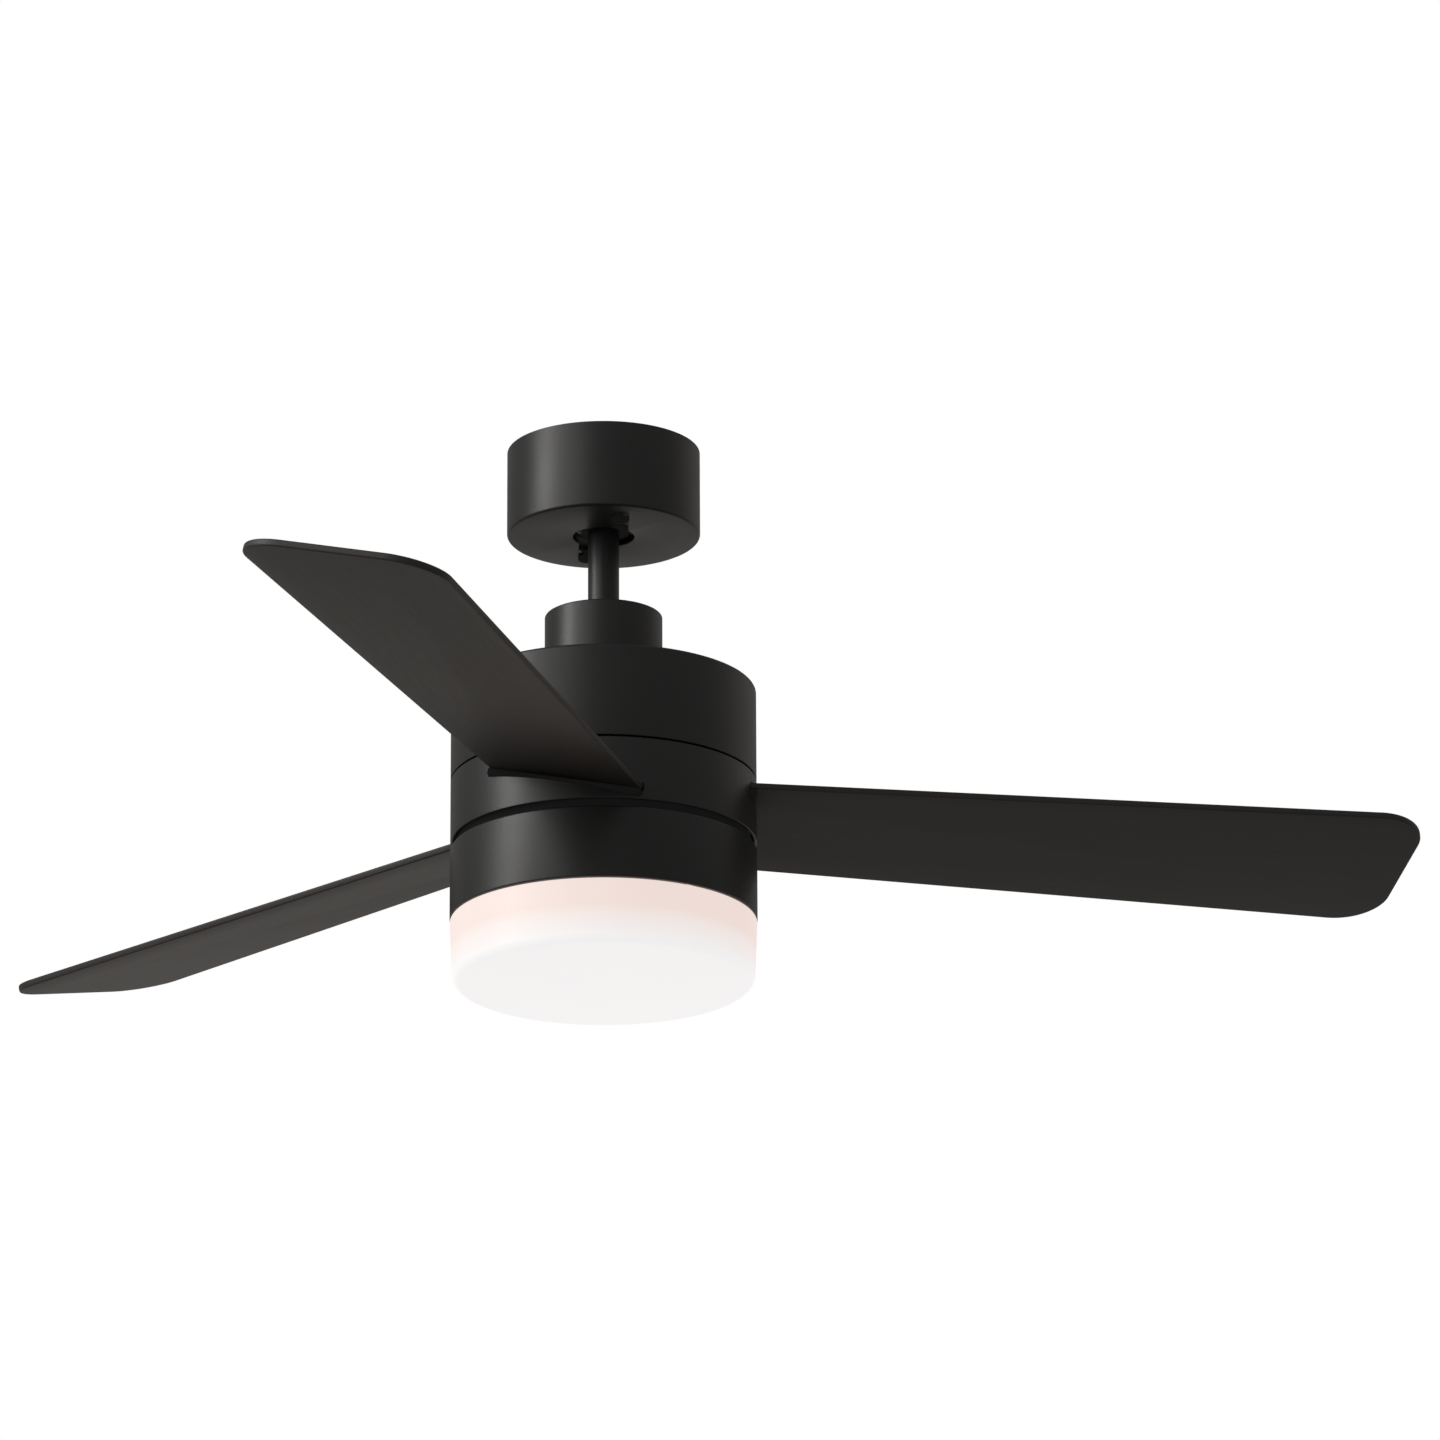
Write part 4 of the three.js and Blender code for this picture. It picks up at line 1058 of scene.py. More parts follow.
place_piece(bowl, "diffuser", "opal_glass", "diffuser")

# %% [markdown]
# ## Screws
#
# A screw is turned once, with a domed head and a crossed recess, and a Geometry Nodes tree
# puts copies of it on points. Each point carries the direction its head faces. The tree
# also gives every screw its own turn, from a fixed seed, because nobody lines them up.

# %% A tree that sets screws on points


def screws_tree():
    tree = ShapeTree("Set of screws", {"Screw": "Object", "Seed": "Int"})
    vectors = {"data_type": "FLOAT_VECTOR"}
    axis = tree.node("GeometryNodeInputNamedAttribute", vectors, {"Name": "faces"}, "Attribute")
    facing = tree.node("FunctionNodeAlignRotationToVector", {"axis": "Z"}, {"Vector": axis})
    chance = tree.node("FunctionNodeRandomValue", vectors, {
        0: (0.0, 0.0, 0.0), 1: (0.0, 0.0, 1.5), "Seed": tree.given("Seed")})
    spin = tree.node("FunctionNodeEulerToRotation", None, {0: chance})
    turn = tree.node("FunctionNodeRotateRotation", {"rotation_space": "LOCAL"}, {0: facing, 1: spin})
    return tree.deliver(tree.copies("Screw", tree.given("Geometry"), turn))


SCREW_SET = screws_tree()


def screw_pattern(head_radius, head_height, shank_radius, shank_length, finish):
    """One screw with its head's underside at the origin and its shank downwards."""
    pattern = turned("screw_pattern", [
        (0.0, head_height, 0.0),
        (head_radius, head_height, head_height * 0.62),
        (head_radius, 0.0, 0.15 * MM),
        (shank_radius, 0.0, 0.0),
        (shank_radius, -shank_length, 0.6 * MM),
        (0.0, -shank_length, 0.0),
    ], finish, 32, 4)
    depth = head_height * 0.55
    long_half, short_half = head_radius * 0.52, head_radius * 0.11
    recess = []
    for half_x, half_y in ((long_half, short_half), (short_half, long_half)):
        outline = [(-half_x, -half_y), (half_x, -half_y), (half_x, half_y), (-half_x, half_y)]
        recess.append(prism("recess", outline, head_height - depth, head_height + MM))
    return cut_by(pattern, recess)


def set_screws(name, sizes, places, finish, seed):
    """Screws of one size at (point, direction of the head) places, as one mesh."""
    mesh = bpy.data.meshes.new(name)
    mesh.from_pydata([point for point, _ in places], [], [])
    faces = mesh.attributes.new("faces", "FLOAT_VECTOR", "POINT")
    for index, (_, direction) in enumerate(places):
        faces.data[index].vector = direction
    pattern = screw_pattern(*sizes, finish)
    values = {"Screw": pattern, "Seed": seed, "Finish": finish}
    made = run_tree(new_object(name + "_points", mesh), SCREW_SET, name, values)
    bpy.data.objects.remove(pattern, do_unlink=True)
    return made


def joined(name, pieces):
    """Several pieces of one body as one mesh."""
    bpy.ops.object.select_all(action="DESELECT")
    for piece in pieces:
        piece.select_set(True)
    bpy.context.view_layer.objects.active = pieces[0]
    bpy.ops.object.join()
    pieces[0].name = name
    return pieces[0]


def heights(node):
    """The bottom and top of a piece of the model."""
    low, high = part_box(node)
    return low.z, high.z


UP, DOWN = (0.0, 0.0, 1.0), (0.0, 0.0, -1.0)
# Each size: the head's radius and height, then the shank's radius and length.
CANOPY_SCREW = (7 * MM, 3.4 * MM, 2 * MM, 10 * MM)
FLANGE_SCREW = (4.4 * MM, 2.8 * MM, 2.2 * MM, 11 * MM)
PAN_SCREW = (4.4 * MM, 2.8 * MM, 2 * MM, 7 * MM)
BOARD_SCREW = (3.2 * MM, 2 * MM, 1.6 * MM, 9 * MM)
CARRIER_SCREW = (4.4 * MM, 2.8 * MM, 2 * MM, 11 * MM)
BLADE_SCREW = (4.6 * MM, 2.4 * MM, 2 * MM, 10.7 * MM)
canopy_places = [((side * 13.5 * MM, -side * 47 * MM, CANOPY_BOTTOM - 0.3 * MM), DOWN) for side in (1, -1)]
# The canopy's screws are dark steel; the darkest coat on them is painted shade in the slots, with a faint
# painted glow.
place_piece(set_screws("canopy_screws", CANOPY_SCREW, canopy_places, painted_shade_coat, 3),
            "ceiling_mount", "dark_steel", "canopy_screw_1", "canopy_screw_2")
flange_top = heights("housing_screw_1")[1] - 2.8 * MM
flange_places = [((*on_circle(FLANGE_CIRCLE, a), flange_top), UP) for a in SCREW_ANGLES]
pan_head = RIM_TOP - SHEET - 0.3 * MM
pan_places = [((*on_circle(PAN_CIRCLE, a), pan_head), DOWN) for a in SCREW_ANGLES]
board_head = BOARD_TOP - 1.9 * MM
board_places = [((*on_circle(BOARD_CIRCLE, a), board_head), DOWN) for a in BOSS_ANGLES]
fixed_screws = joined("fixed_screws", [
    set_screws("flange_screws", FLANGE_SCREW, flange_places, zinc, 5),
    set_screws("pan_screws", PAN_SCREW, pan_places, zinc, 7),
    set_screws("board_screws", BOARD_SCREW, board_places, zinc, 11),
])
place_piece(fixed_screws, "hung_fan", "zinc_steel", *[f"housing_screw_{i}" for i in (1, 2, 3)],
            *[f"light_ring_screw_{i}" for i in (1, 2, 3)], "led_board_screw_1", "led_board_screw_2")
carrier_head = CARRIER_TOP - HUB_FLOOR - 0.3 * MM
carrier_places = [((*on_circle(CARRIER_CIRCLE, a), carrier_head), DOWN) for a in CARRIER_SCREWS]
blade_places = []
for index in range(BLADES):
    stand = at_blade(index)
    direction = tuple(stand.to_3x3() @ Vector(DOWN))
    blade_places += [(tuple(stand @ Vector((x, y, -5.8 * MM))), direction) for x, y in BLADE_HOLES]
turning_screws = joined("turning_screws", [
    set_screws("carrier_screws", CARRIER_SCREW, carrier_places, zinc, 13),
    set_screws("blade_screws", BLADE_SCREW, blade_places, zinc, 17),
])
place_piece(turning_screws, "rotor", "zinc_steel", *[f"carrier_screw_{i}" for i in (1, 2, 3)],
            *[f"blade_{i}_screw_{j}" for i in (1, 2, 3) for j in (1, 2, 3)])

# %% [markdown]
# ## The bracket, the ball and the receiver
#
# The bracket is bent and pierced from thick sheet. The model already has its true shape, so
# it is copied, its loose triangles are merged into whole faces, and its edges get the small
# radius that a press leaves. The same is done later for the nut on the shaft.

# %% Soften plain pieces of the model


def softened(node, name, width, finish, segments=2):
    """A copy of a model piece with merged faces and rounded edges."""
    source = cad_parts[node]
    mesh = source.data.copy()
    mesh.transform(source.matrix_world)
    mesh.materials.clear()
    mesh.materials.append(finish)
    work = bmesh.new()
    work.from_mesh(mesh)
    bmesh.ops.remove_doubles(work, verts=work.verts, dist=0.00002)
    bmesh.ops.recalc_face_normals(work, faces=work.faces)
    bmesh.ops.dissolve_limit(work, angle_limit=math.radians(1), verts=work.verts, edges=work.edges)
    work.to_mesh(mesh)
    work.free()
    for layer in list(mesh.attributes):
        if layer.name == "custom_normal":
            mesh.attributes.remove(layer)
    copy = new_object(name + "_sharp", mesh)
    bevel = copy.modifiers.new("edges", "BEVEL")
    bevel.width = width
    bevel.segments = segments
    bevel.limit_method = "ANGLE"
    bevel.angle_limit = math.radians(40)
    bevel.use_clamp_overlap = True
    return plain_copy(copy, name, 40.0)


# The bracket's darker, duller coat is painted shade inside the canopy.
bracket = softened("hanger_bracket", "pressed_bracket", 0.35 * MM, inner_shade_coat)
place_piece(bracket, "ceiling_mount", "black_paint", "hanger_bracket")

# %% Mould the ball
BALL_CENTRE, BALL_RADIUS = -50 * MM, 27 * MM
BALL_LOW, BALL_HIGH = -17 * MM, 18 * MM
ball_start = math.degrees(math.asin(BALL_LOW / BALL_RADIUS))
ball_end = math.degrees(math.asin(BALL_HIGH / BALL_RADIUS))
ball_arc = arc_points((0.0, BALL_CENTRE), BALL_RADIUS, ball_start, ball_end, 22)
ball_corners = [(r, z, 0.0) for r, z in ball_arc]
ball_corners += [
    (ROD_RADIUS + 0.3 * MM, BALL_CENTRE + BALL_HIGH, 0.5 * MM),
    (ROD_RADIUS + 0.3 * MM, BALL_CENTRE + BALL_LOW, 0.5 * MM),
]
# The ball is black plastic; the darkest coat on it adds painted shade in the canopy's hole, with a faint painted
# glow.
ball = turned("hanging_ball", ball_corners, painted_shade_coat, 96)


BALL_SCREW = -55 * MM
lie_along_x = Matrix.Rotation(math.pi / 2, 4, "Y")
set_hole = round_bar("set_hole", 2.3 * MM, 12 * MM, 28 * MM)
ball = cut_by(ball, [
    box_bar("pin_groove", (-3.4 * MM, -19 * MM, CROSS_PIN - 3.4 * MM),
            (3.4 * MM, 19 * MM, BALL_CENTRE + 19 * MM)),
    box_bar("key_groove", (-28 * MM, -2.8 * MM, -70 * MM), (-17.5 * MM, 2.8 * MM, -30 * MM)),
    move_mesh(set_hole, Matrix.Translation((0, 0, BALL_SCREW)) @ lie_along_x),
])
place_piece(ball, "hung_fan", "black_plastic", "hanger_ball")

# %% [markdown]
# The receiver and the light's driver are small electronics boxes. Each is a tray and a lid
# with rounded corners, a fine step where they meet and a row of vents.

# %% Build the two electronics boxes


def rounded_plan(half_x, half_y, corner, steps=6):
    outline = []
    for x, y, start in ((1, -1, -90), (1, 1, 0), (-1, 1, 90), (-1, -1, 180)):
        centre = (x * (half_x - corner), y * (half_y - corner))
        outline += arc_points(centre, corner, start, start + 90, steps)
    return outline


def case_box(name, half_x, half_y, low, high, step_share, vents, finish):
    """A tray and a lid in one closed mesh, with a groove where they meet."""
    corner, groove = 3 * MM, 0.5 * MM
    seam = low + (high - low) * step_share
    levels = []
    for inset, z in ((1.0 * MM, low), (0.3 * MM, low + 0.3 * MM), (0.0, low + 1.0 * MM),
                     (0.0, seam - groove), (groove, seam - groove), (groove, seam), (0.0, seam),
                     (0.0, high - 1.0 * MM), (0.3 * MM, high - 0.3 * MM), (1.0 * MM, high)):
        levels.append((rounded_plan(half_x - inset, half_y - inset, corner), z))
    case = stacked(name, levels)
    case.data.materials.append(finish)
    slots = []
    for index in range(vents):
        x = (index - (vents - 1) / 2) * 5 * MM
        corners = (x - MM, -half_y * 0.5, low - MM), (x + MM, half_y * 0.5, low + 1.2 * MM)
        slots.append(box_bar("vent", *corners))
    return cut_by(case, slots)


low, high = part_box("remote_receiver")
receiver = case_box("receiver_case", high.x, high.y, low.z, high.z, 0.62, 9, black_plastic)
place_piece(receiver, "ceiling_mount", "black_plastic", "remote_receiver")
low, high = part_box("led_driver")
half_x, half_y = (high.x - low.x) / 2, (high.y - low.y) / 2
driver = case_box("driver_case", half_x, half_y, low.z, high.z, 0.55, 7, white_plastic)
move_mesh(driver, Matrix.Translation((0.0, (low.y + high.y) / 2, 0.0)))
place_piece(driver, "hung_fan", "grey_plastic", "led_driver")

# %% [markdown]
# ## Pins, coupling and clip
#
# The rod stands in a steel coupling on the motor. A clevis pin through both carries the
# weight, and a hairpin clip keeps the pin in. The pins and screws are turned upright and
# then laid on their sides.

# %% Turn the coupling and its pins


def lying(piece, axis, height):
    """Lays an upright piece along +X or +Y at a height."""
    turn = lie_along_x if axis == "X" else Matrix.Rotation(-math.pi / 2, 4, "X")
    return move_mesh(piece, Matrix.Translation((0.0, 0.0, height)) @ turn)


def pin(name, radius, start, end, finish, bevel=0.6 * MM):
    corners = [(0.0, end, 0.0), (radius, end, bevel), (radius, start, bevel), (0.0, start, 0.0)]
    return turned(name, corners, finish, 40)


SHAFT_HOLE = 8.8 * MM
FLANGE_TOP, FLANGE_BOTTOM, COUPLING_TOP = -196 * MM, -200.6 * MM, -148 * MM
COUPLING_RADIUS, FLANGE_RADIUS, ROD_SEAT = 18 * MM, 38 * MM, -189.5 * MM
coupling = turned("shaft_coupling", [
    (COUPLING_RADIUS, COUPLING_TOP, 0.8 * MM),
    (COUPLING_RADIUS, FLANGE_TOP, 1.5 * MM),
    (FLANGE_RADIUS, FLANGE_TOP, 0.8 * MM),
    (FLANGE_RADIUS, FLANGE_BOTTOM, 0.5 * MM),
    (SHAFT_HOLE, FLANGE_BOTTOM, 0.3 * MM),
    (SHAFT_HOLE, ROD_SEAT, 0.0),
    (ROD_RADIUS + 0.3 * MM, ROD_SEAT, 0.0),
    (ROD_RADIUS + 0.3 * MM, COUPLING_TOP, 0.6 * MM),
], zinc, 96)
SET_SCREWS = -156 * MM
coupling = cut_by(coupling, [
    cross_bar("pin_hole", PIN_HOLE, "X", CLEVIS_PIN),
    cross_bar("set_hole", 2.8 * MM, "Y", SET_SCREWS),
] + round_bars("flange_hole", 2.6 * MM, -202 * MM, -195 * MM, FLANGE_CIRCLE, SCREW_ANGLES, 24))
place_piece(coupling, "hung_fan", "zinc_steel", "motor_coupling")
cross_pin = lying(pin("ball_pin", 3 * MM, -18.5 * MM, 18.5 * MM, zinc), "Y", CROSS_PIN)
place_piece(cross_pin, "hung_fan", "zinc_steel", "ball_cross_pin")
CLIP = 22 * MM
clevis = turned("clevis", [
    (0.0, 25 * MM, 0.0), (3 * MM, 25 * MM, 0.8 * MM), (3 * MM, -18.3 * MM, 0.0),
    (4.8 * MM, -18.3 * MM, 0.3 * MM), (4.8 * MM, -21.3 * MM, 0.8 * MM), (0.0, -21.3 * MM, 0.0),
], zinc, 40)
clip_hole = round_bar("clip_hole", 1.2 * MM, CLEVIS_PIN - 5 * MM, CLEVIS_PIN + 5 * MM, (CLIP, 0.0), 20)
clevis = cut_by(lying(clevis, "X", CLEVIS_PIN), [clip_hole])
place_piece(clevis, "hung_fan", "zinc_steel", "clevis_pin")


def grub_screw(name, radius, start, end):
    """A headless screw with a hexagon socket in its outer end."""
    body = pin(name, radius, start, end, dark_steel, 0.4 * MM)
    socket = prism("socket", arc_points((0.0, 0.0), radius * 0.55, 0, 300, 5), end - 2 * MM, end + MM)
    return cut_by(body, [socket])


grubs = [lying(grub_screw("ball_grub", 2 * MM, 12.7 * MM, 22 * MM), "X", BALL_SCREW)]
for side in (1, -1):
    grub = lying(grub_screw("coupling_grub", 2.5 * MM, 12.7 * MM, 22 * MM), "Y", SET_SCREWS)
    grubs.append(move_mesh(grub, Matrix.Rotation(math.pi * (side < 0), 4, "Z")))
place_piece(joined("grub_screws", grubs), "hung_fan", "dark_steel", "ball_set_screw",
            "coupling_set_screw_1", "coupling_set_screw_2")

# %% [markdown]
# ## Wires and coils
#
# A wire is a path and a round section. One tree sweeps the section along the path; it can
# also carry the wire round the path as a strand of a twisted bundle. The hairpin clip, the
# leads and the motor's coils all come from it.

# %% A tree for wires


def wire_tree():
    tree = ShapeTree("Wire along a path", {
        "Radius": "Float", "Offset": "Float", "Phase": "Float", "Twist": "Float", "Sides": "Int"})
    path = tree.node("GeometryNodeMeshToCurve", None, {0: tree.given("Geometry")})
    length = tree.node("GeometryNodeSplineParameter", output="Length")
    turn = length * tree.given("Twist") + tree.given("Phase")
    normal, tangent = tree.node("GeometryNodeInputNormal"), tree.node("GeometryNodeInputTangent")
    side = tree.node("ShaderNodeVectorMath", {"operation": "CROSS_PRODUCT"}, {0: tangent, 1: normal})
    across, aside = (
        tree.node("ShaderNodeVectorMath", {"operation": "SCALE"}, {
            0: direction, "Scale": turn.math(wave) * tree.given("Offset")})
        for direction, wave in ((normal, "COSINE"), (side, "SINE")))
    offset = tree.node("ShaderNodeVectorMath", {"operation": "ADD"}, {0: across, 1: aside})
    moved = tree.node("GeometryNodeSetPosition", None, {"Geometry": path, "Offset": offset})
    section = tree.node("GeometryNodeCurvePrimitiveCircle", None, {
        "Resolution": tree.given("Sides"), "Radius": tree.given("Radius")})
    swept = tree.node("GeometryNodeCurveToMesh", None, {
        "Curve": moved, "Profile Curve": section, "Fill Caps": True})
    return tree.deliver(swept)


WIRE = wire_tree()


def smooth_path(points, steps=8):
    """A smooth path through the points, in metres, by Catmull and Rom's rule."""
    knots = [Vector(p) for p in points]
    knots = [knots[0] * 2 - knots[1]] + knots + [knots[-1] * 2 - knots[-2]]
    path = []
    for a, b, c, d in zip(knots, knots[1:], knots[2:], knots[3:]):
        for step in range(steps):
            t = step / steps
            path.append((2 * b + (c - a) * t + (2 * a - 5 * b + 4 * c - d) * t * t
                         + (3 * b - a - 3 * c + d) * t ** 3) / 2)
    return path + [knots[-2]]


def wire(name, path, radius, finish, offset=0.0, phase=0.0, twist=0.0, sides=10):
    mesh = bpy.data.meshes.new(name)
    mesh.from_pydata([tuple(p) for p in path], [(i, i + 1) for i in range(len(path) - 1)], [])
    values = {"Radius": radius, "Offset": offset, "Phase": phase, "Twist": twist, "Sides": sides,
              "Finish": finish}
    return run_tree(new_object(name + "_path", mesh), WIRE, name, values, 60.0)


def strands(name, path, colours, radius, offset, twist=130.0):
    """A twisted bundle of sleeved wires."""
    phases = [math.tau * i / len(colours) for i in range(len(colours))]
    return joined(name, [
        wire(f"{name}_{colour}", path, radius, sleeves[colour], offset, phase, twist, 8)
        for colour, phase in zip(colours, phases)
    ])


clip_points = [
    (0, -11), (0, 0), (0, 8), (1.2, 11.5), (3.6, 12), (5.4, 9), (5, 4), (4.3, 0), (5.6, -5), (7, -9),
]
clip_path = smooth_path([(CLIP, y * MM, CLEVIS_PIN + z * MM) for y, z in clip_points])
clip = wire("hairpin", clip_path, 0.8 * MM, zinc, sides=12)
place_piece(clip, "hung_fan", "zinc_steel", "hairpin_clip")

loom_points = [
    (49, 0, -11), (52, 0, -11), (59, 0, -12.5), (60, 4, -21), (50, 8, -27), (34, 8, -25.5),
    (16, 3, -25.5), (8.5, 0.5, -27), (6.4, 0, -33), (6.4, 0, -46), (5, 2.5, -75), (2, 5.5, -110),
    (0, 6.6, -150), (0, 6.6, -174), (0, 2.5, -184), (0, 0.3, -192), (0, 0, -215), (0, 0, -280),
    (0, 0, -335), (0, 0.5, -345), (0, 5, -350), (0, 14, -350), (0, 25, -344.5), (0, 34, -343),
    (0, 41.6, -343),
]
loom_path = smooth_path([tuple(v * MM for v in point) for point in loom_points])
loom = strands("lead_loom", loom_path, ["black", "white", "blue", "red"], 0.85 * MM, 1.3 * MM)
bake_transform(loom, "ceiling_mount", "hung_fan", start=(14 * MM, 3 * MM, -25 * MM), end=(5 * MM, 0.0, -38 * MM))
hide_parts("receiver_leads", "fan_leads")
supply_points = [
    (-49, 0, -11), (-51, 0, -11), (-60, 6, -12), (-60, 13, -19), (-58, 14, -24), (-58, 14, -26.8),
]
supply_path = smooth_path([tuple(v * MM for v in point) for point in supply_points])
supply = strands("supply_loom", supply_path, ["black", "white", "green"], 0.85 * MM, 1.2 * MM)
place_piece(supply, "ceiling_mount", "lead_sleeve", "supply_leads")
print("loom:", len(loom.data.polygons), "faces")

# %% [markdown]
# ## Copies round the axis
#
# Coils, magnets, diodes and the ribs of a wire connector stand in rings. One more tree
# copies a pattern round the axis: as many times as asked, each turned by an equal share of
# the circle.

# %% A tree for rings of copies


def ring_tree():
    tree = ShapeTree("Ring of copies", {"Pattern": "Object", "Count": "Int"})
    count = tree.given("Count")
    points = tree.node("GeometryNodeMeshLine", None, {"Count": count, "Offset": (0.0, 0.0, 0.0)})
    turn = tree.node("GeometryNodeInputIndex").math("DIVIDE", count) * math.tau
    angles = tree.node("ShaderNodeCombineXYZ", None, {"Z": turn})
    return tree.deliver(tree.copies("Pattern", points, angles))


RING = ring_tree()


def ring_of(name, pattern, count, finish, crease=30.0):
    """Copies of a pattern round the axis. The pattern is used up."""
    seat = new_object(name + "_seat", bpy.data.meshes.new(name))
    made = run_tree(seat, RING, name, {"Pattern": pattern, "Count": count, "Finish": finish}, crease)
    bpy.data.objects.remove(pattern, do_unlink=True)
    return made


STACK_LOW, STACK_HIGH = heights("stator_core")
STACK_MIDDLE = (STACK_LOW + STACK_HIGH) / 2
TEETH, MAGNETS = 12, 14
MAGNET_INNER, MAGNET_OUTER, MAGNET_GAP = 73.9 * MM, 78.1 * MM, 1.2
magnet_arc = 360 / MAGNETS - MAGNET_GAP
magnet_outline = arc_points((0.0, 0.0), MAGNET_INNER, 0, magnet_arc, 8)
magnet_outline += arc_points((0.0, 0.0), MAGNET_OUTER, magnet_arc, 0, 8)
magnet = prism("magnet", magnet_outline, STACK_LOW - 3 * MM, STACK_HIGH + 3 * MM, ferrite)
magnets = ring_of("magnets", magnet, MAGNETS, ferrite)
place_piece(magnets, "rotor", "ferrite", "magnet_ring")

# One side of a tooth, from its root to its tip: the radius in millimetres and the angle off its middle.
TOOTH_SIDE = [(36, 8.0), (66, 4.34), (68, 11.6)]
TOOTH_TIP, TIP_ANGLE = 72.8 * MM, 12.4
tooth_shape = []
for index in range(TEETH):
    centre = 360 / TEETH * index
    tooth_shape += [on_circle(r * MM, math.radians(centre - aside)) for r, aside in TOOTH_SIDE]
    tooth_shape += arc_points((0.0, 0.0), TOOTH_TIP, centre - TIP_ANGLE, centre + TIP_ANGLE, 8)
    tooth_shape += [on_circle(r * MM, math.radians(centre + aside)) for r, aside in TOOTH_SIDE[::-1]]
core = prism("laminated_core", tooth_shape, STACK_LOW, STACK_HIGH, laminations)
core = cut_by(core, [round_bar("core_bore", SHAFT_HOLE, STACK_LOW - MM, STACK_HIGH + MM, (0.0, 0.0), 48)])
place_piece(core, "hung_fan", "laminated_steel", "stator_core")

coil_path = []
WIRE_STEP = 0.95 * MM
COIL_START = 44 * MM
for layer in range(3):
    half_y = 5.7 * MM + WIRE_STEP * layer
    half_z = 11.7 * MM + WIRE_STEP * layer
    loop = rounded_plan(half_y, half_z, 1.6 * MM + WIRE_STEP * layer, 2)
    rounds = 18 - 2 * layer
    for turn in range(rounds):
        for step, (y, z) in enumerate(loop):
            along = turn + step / len(loop)
            steps = along if layer % 2 == 0 else rounds - along
            coil_path.append((COIL_START + steps * WIRE_STEP, y, STACK_MIDDLE + z))
coil = wire("coil", coil_path, 0.46 * MM, copper, sides=6)
coils = ring_of("coils", coil, TEETH, copper, crease=60.0)
place_piece(coils, "hung_fan", "copper_wire", "stator_windings")

# %% [markdown]
# ## Shaft, bearings, rotor and plate
#
# These are all turned. A bearing is one outline with a shallow groove on each side, which
# is the steel shield between its inner and outer race.

# %% Turn the motor's round pieces


def bearing(name, top):
    """A shielded ball bearing, 12 mm wide."""
    low = top - 12 * MM
    inner_race, outer_race, dip = 12 * MM, 16.6 * MM, 0.7 * MM
    return turned(name, [
        (SHAFT_HOLE, top, 0.4 * MM), (inner_race, top, 0.2 * MM), (inner_race, top - dip, 0.0),
        (outer_race, top - dip, 0.0), (outer_race, top, 0.2 * MM), (20 * MM, top, 0.5 * MM),
        (20 * MM, low, 0.5 * MM), (outer_race, low, 0.2 * MM), (outer_race, low + dip, 0.0),
        (inner_race, low + dip, 0.0), (inner_race, low, 0.2 * MM), (SHAFT_HOLE, low, 0.4 * MM),
    ], bearing_steel, 96, 3)


for name in ("upper_bearing", "lower_bearing"):
    place_piece(bearing(name + "_races", heights(name)[1]), "rotor", "zinc_steel", name)
shaft_low, shaft_high = heights("motor_shaft")
shaft = turned("hollow_shaft", [
    (8.5 * MM, shaft_high, 0.8 * MM), (8.5 * MM, shaft_low, 0.8 * MM),
    (5 * MM, shaft_low, 0.3 * MM), (5 * MM, shaft_high, 0.3 * MM),
], zinc, 64)
place_piece(shaft, "hung_fan", "zinc_steel", "motor_shaft")
_, ROTOR_TOP, ROTOR_JOINT = reach("rotor_top_cap")
CAP_OUTER, CAP_INNER, CAP_BORE, POCKET = 82 * MM, 78.5 * MM, 13 * MM, 20.3 * MM
upper_seat, lower_seat = heights("upper_bearing"), heights("lower_bearing")
top_cap = turned("upper_cap", [
    (CAP_BORE, ROTOR_TOP, 0.6 * MM), (CAP_OUTER, ROTOR_TOP, 6 * MM), (CAP_OUTER, ROTOR_JOINT, 0.3 * MM),
    (CAP_INNER, ROTOR_JOINT, 0.3 * MM), (CAP_INNER, ROTOR_TOP - 3.5 * MM, 4 * MM),
    (POCKET + 4 * MM, ROTOR_TOP - 3.5 * MM, 1.5 * MM), (POCKET + 4 * MM, upper_seat[0], 0.6 * MM),
    (POCKET, upper_seat[0], 0.4 * MM), (POCKET, upper_seat[1] + 0.3 * MM, 0.0),
    (CAP_BORE, upper_seat[1] + 0.3 * MM, 0.4 * MM),
], aluminium, 128)
place_piece(top_cap, "rotor", "cast_aluminium", "rotor_top_cap")
cap_low, cap_high = heights("rotor_bottom_cap")
bottom_cap = turned("lower_cap", [
    (CAP_INNER, cap_high, 0.3 * MM), (CAP_OUTER, cap_high, 0.3 * MM), (CAP_OUTER, cap_low, 5 * MM),
    (CAP_BORE, cap_low, 0.6 * MM), (CAP_BORE, lower_seat[0] - 0.3 * MM, 0.4 * MM),
    (POCKET, lower_seat[0] - 0.3 * MM, 0.0), (POCKET, lower_seat[1], 0.4 * MM),
    (POCKET + 4 * MM, lower_seat[1], 0.6 * MM), (POCKET + 4 * MM, cap_low + 3.5 * MM, 1.5 * MM),
    (CAP_INNER, cap_low + 3.5 * MM, 4 * MM),
], aluminium, 128)
bottom_cap = cut_by(bottom_cap, round_bars(
    "cap_hole", SCREW_HOLE, cap_low - MM, cap_low + 5 * MM, CARRIER_CIRCLE, CARRIER_SCREWS, 24))
place_piece(bottom_cap, "rotor", "cast_aluminium", "rotor_bottom_cap")
plate_low, plate_high = heights("light_mount_plate")
PLATE_RADIUS, COLLET_RADIUS, PLATE_THICK = 54 * MM, 14 * MM, 2.2 * MM
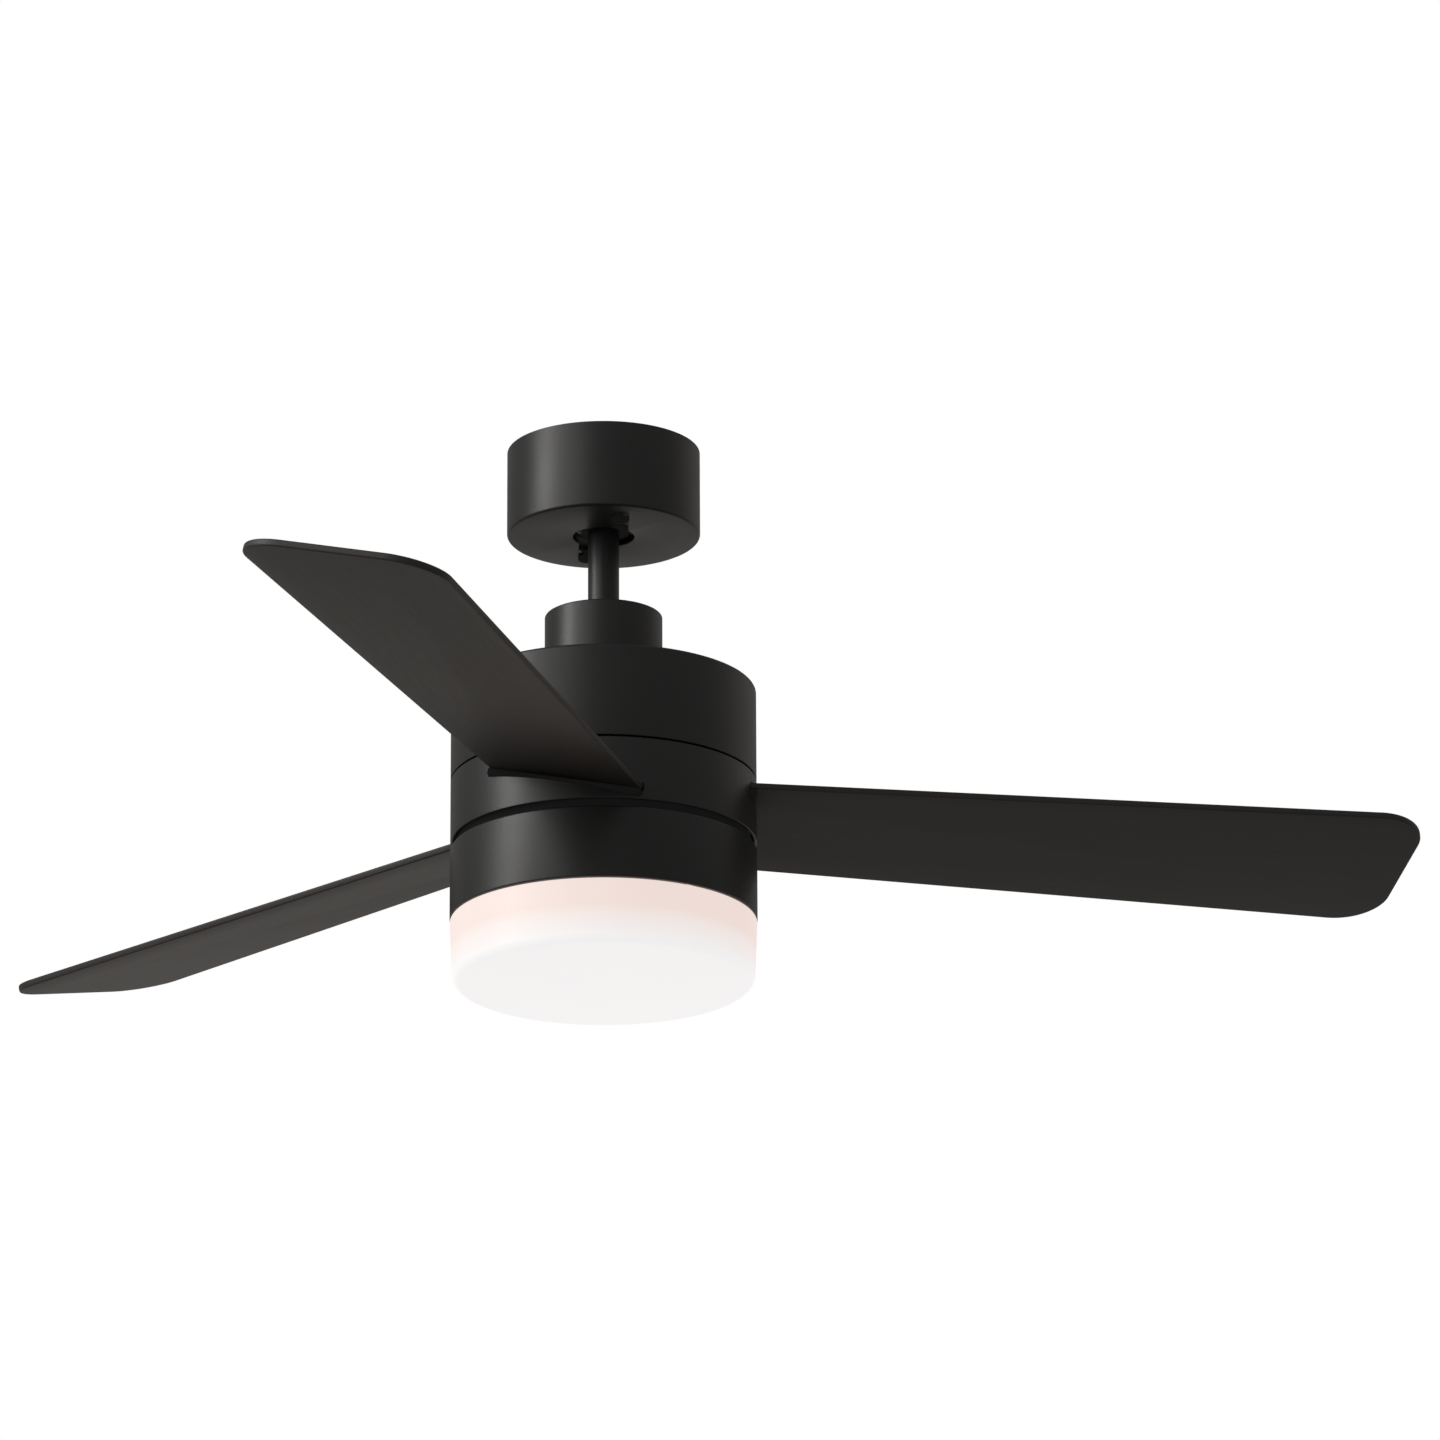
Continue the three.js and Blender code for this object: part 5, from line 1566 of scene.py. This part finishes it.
plate = turned("mount_plate", [
    (SHAFT_HOLE, plate_high, 0.4 * MM), (COLLET_RADIUS, plate_high, 0.6 * MM),
    (COLLET_RADIUS, plate_low + PLATE_THICK, 1.2 * MM), (PLATE_RADIUS, plate_low + PLATE_THICK, 0.5 * MM),
    (PLATE_RADIUS, plate_low, 0.5 * MM), (SHAFT_HOLE, plate_low, 0.4 * MM),
], zinc, 96)
plate = cut_by(plate, round_bars(
    "plate_hole", SCREW_HOLE, plate_low - MM, plate_low + 4 * MM, PAN_CIRCLE, SCREW_ANGLES, 24))
place_piece(plate, "hung_fan", "zinc_steel", "light_mount_plate")
nut = softened("shaft_nut", "hexagon_nut", 0.5 * MM, zinc)
place_piece(nut, "hung_fan", "zinc_steel", "shaft_nut")

# %% [markdown]
# ## The board and the wire connector
#
# The board is a white disc with two rings of diodes. A diode is a small square carrier with
# a yellow dome. The connector is a ribbed cone that is twisted onto the bare ends of wires.

# %% Build the board and the connector
DIODE_RINGS = [(46 * MM, 6), (84 * MM, 10)]
BOARD_RADIUS, BOARD_BORE = 98 * MM, 26 * MM
board_low = BOARD_TOP - 1.6 * MM
board = turned("board_disc", [
    (BOARD_RADIUS, BOARD_TOP, 0.3 * MM), (BOARD_RADIUS, board_low, 0.3 * MM),
    (BOARD_BORE, board_low, 0.3 * MM), (BOARD_BORE, BOARD_TOP, 0.3 * MM),
], board_mask, 128)
board = cut_by(board, round_bars(
    "board_hole", BOARD_HOLE, BOARD_TOP - 3 * MM, BOARD_TOP + MM, BOARD_CIRCLE, BOSS_ANGLES))
board_parts = [board]
for radius, count in DIODE_RINGS:
    chip_levels = [(rounded_plan(half * MM, half * MM, 0.4 * MM, 3), board_low - depth * MM)
                   for half, depth in ((2.3, 0.62), (2.5, 0.5), (2.5, -0.1))]
    chip = stacked("chip", chip_levels)
    dome_levels = [(arc_points((0.0, 0.0), r * MM, 0, 345, 23), board_low - depth * MM)
                   for r, depth in ((0.9, 0.79), (1.5, 0.74), (1.8, 0.55), (1.8, 0.3))]
    dome = stacked("dome", dome_levels)
    for pattern, finish in ((chip, white_plastic), (dome, diode)):
        move_mesh(pattern, Matrix.Translation((radius, 0.0, 0.0)))
        board_parts.append(ring_of("diodes", pattern, count, finish))
place_piece(joined("light_board", board_parts), "hung_fan", "board_white", "led_board")

connector = turned("twist_connector", [
    (0.0, 6.5 * MM, 0.0), (4.4 * MM, 6.5 * MM, 0.8 * MM), (4.9 * MM, 4 * MM, 0.5 * MM),
    (3.1 * MM, -10 * MM, 0.6 * MM), (1.9 * MM, -12 * MM, 0.5 * MM), (0.0, -12 * MM, 0.0),
], connector_orange, 48)
rib_outline = [(2.0 * MM, -0.3 * MM), (5.15 * MM, -0.22 * MM), (5.15 * MM, 0.22 * MM), (2.0 * MM, 0.3 * MM)]
rib = prism("rib", rib_outline, -3 * MM, 4.2 * MM, connector_orange)
connector = joined("ribbed_connector", [connector, ring_of("ribs", rib, 12, connector_orange)])
move_mesh(connector, Matrix.Translation((-58 * MM, 14 * MM, -34 * MM)))
place_piece(connector, "ceiling_mount", "black_plastic", "wire_connector")
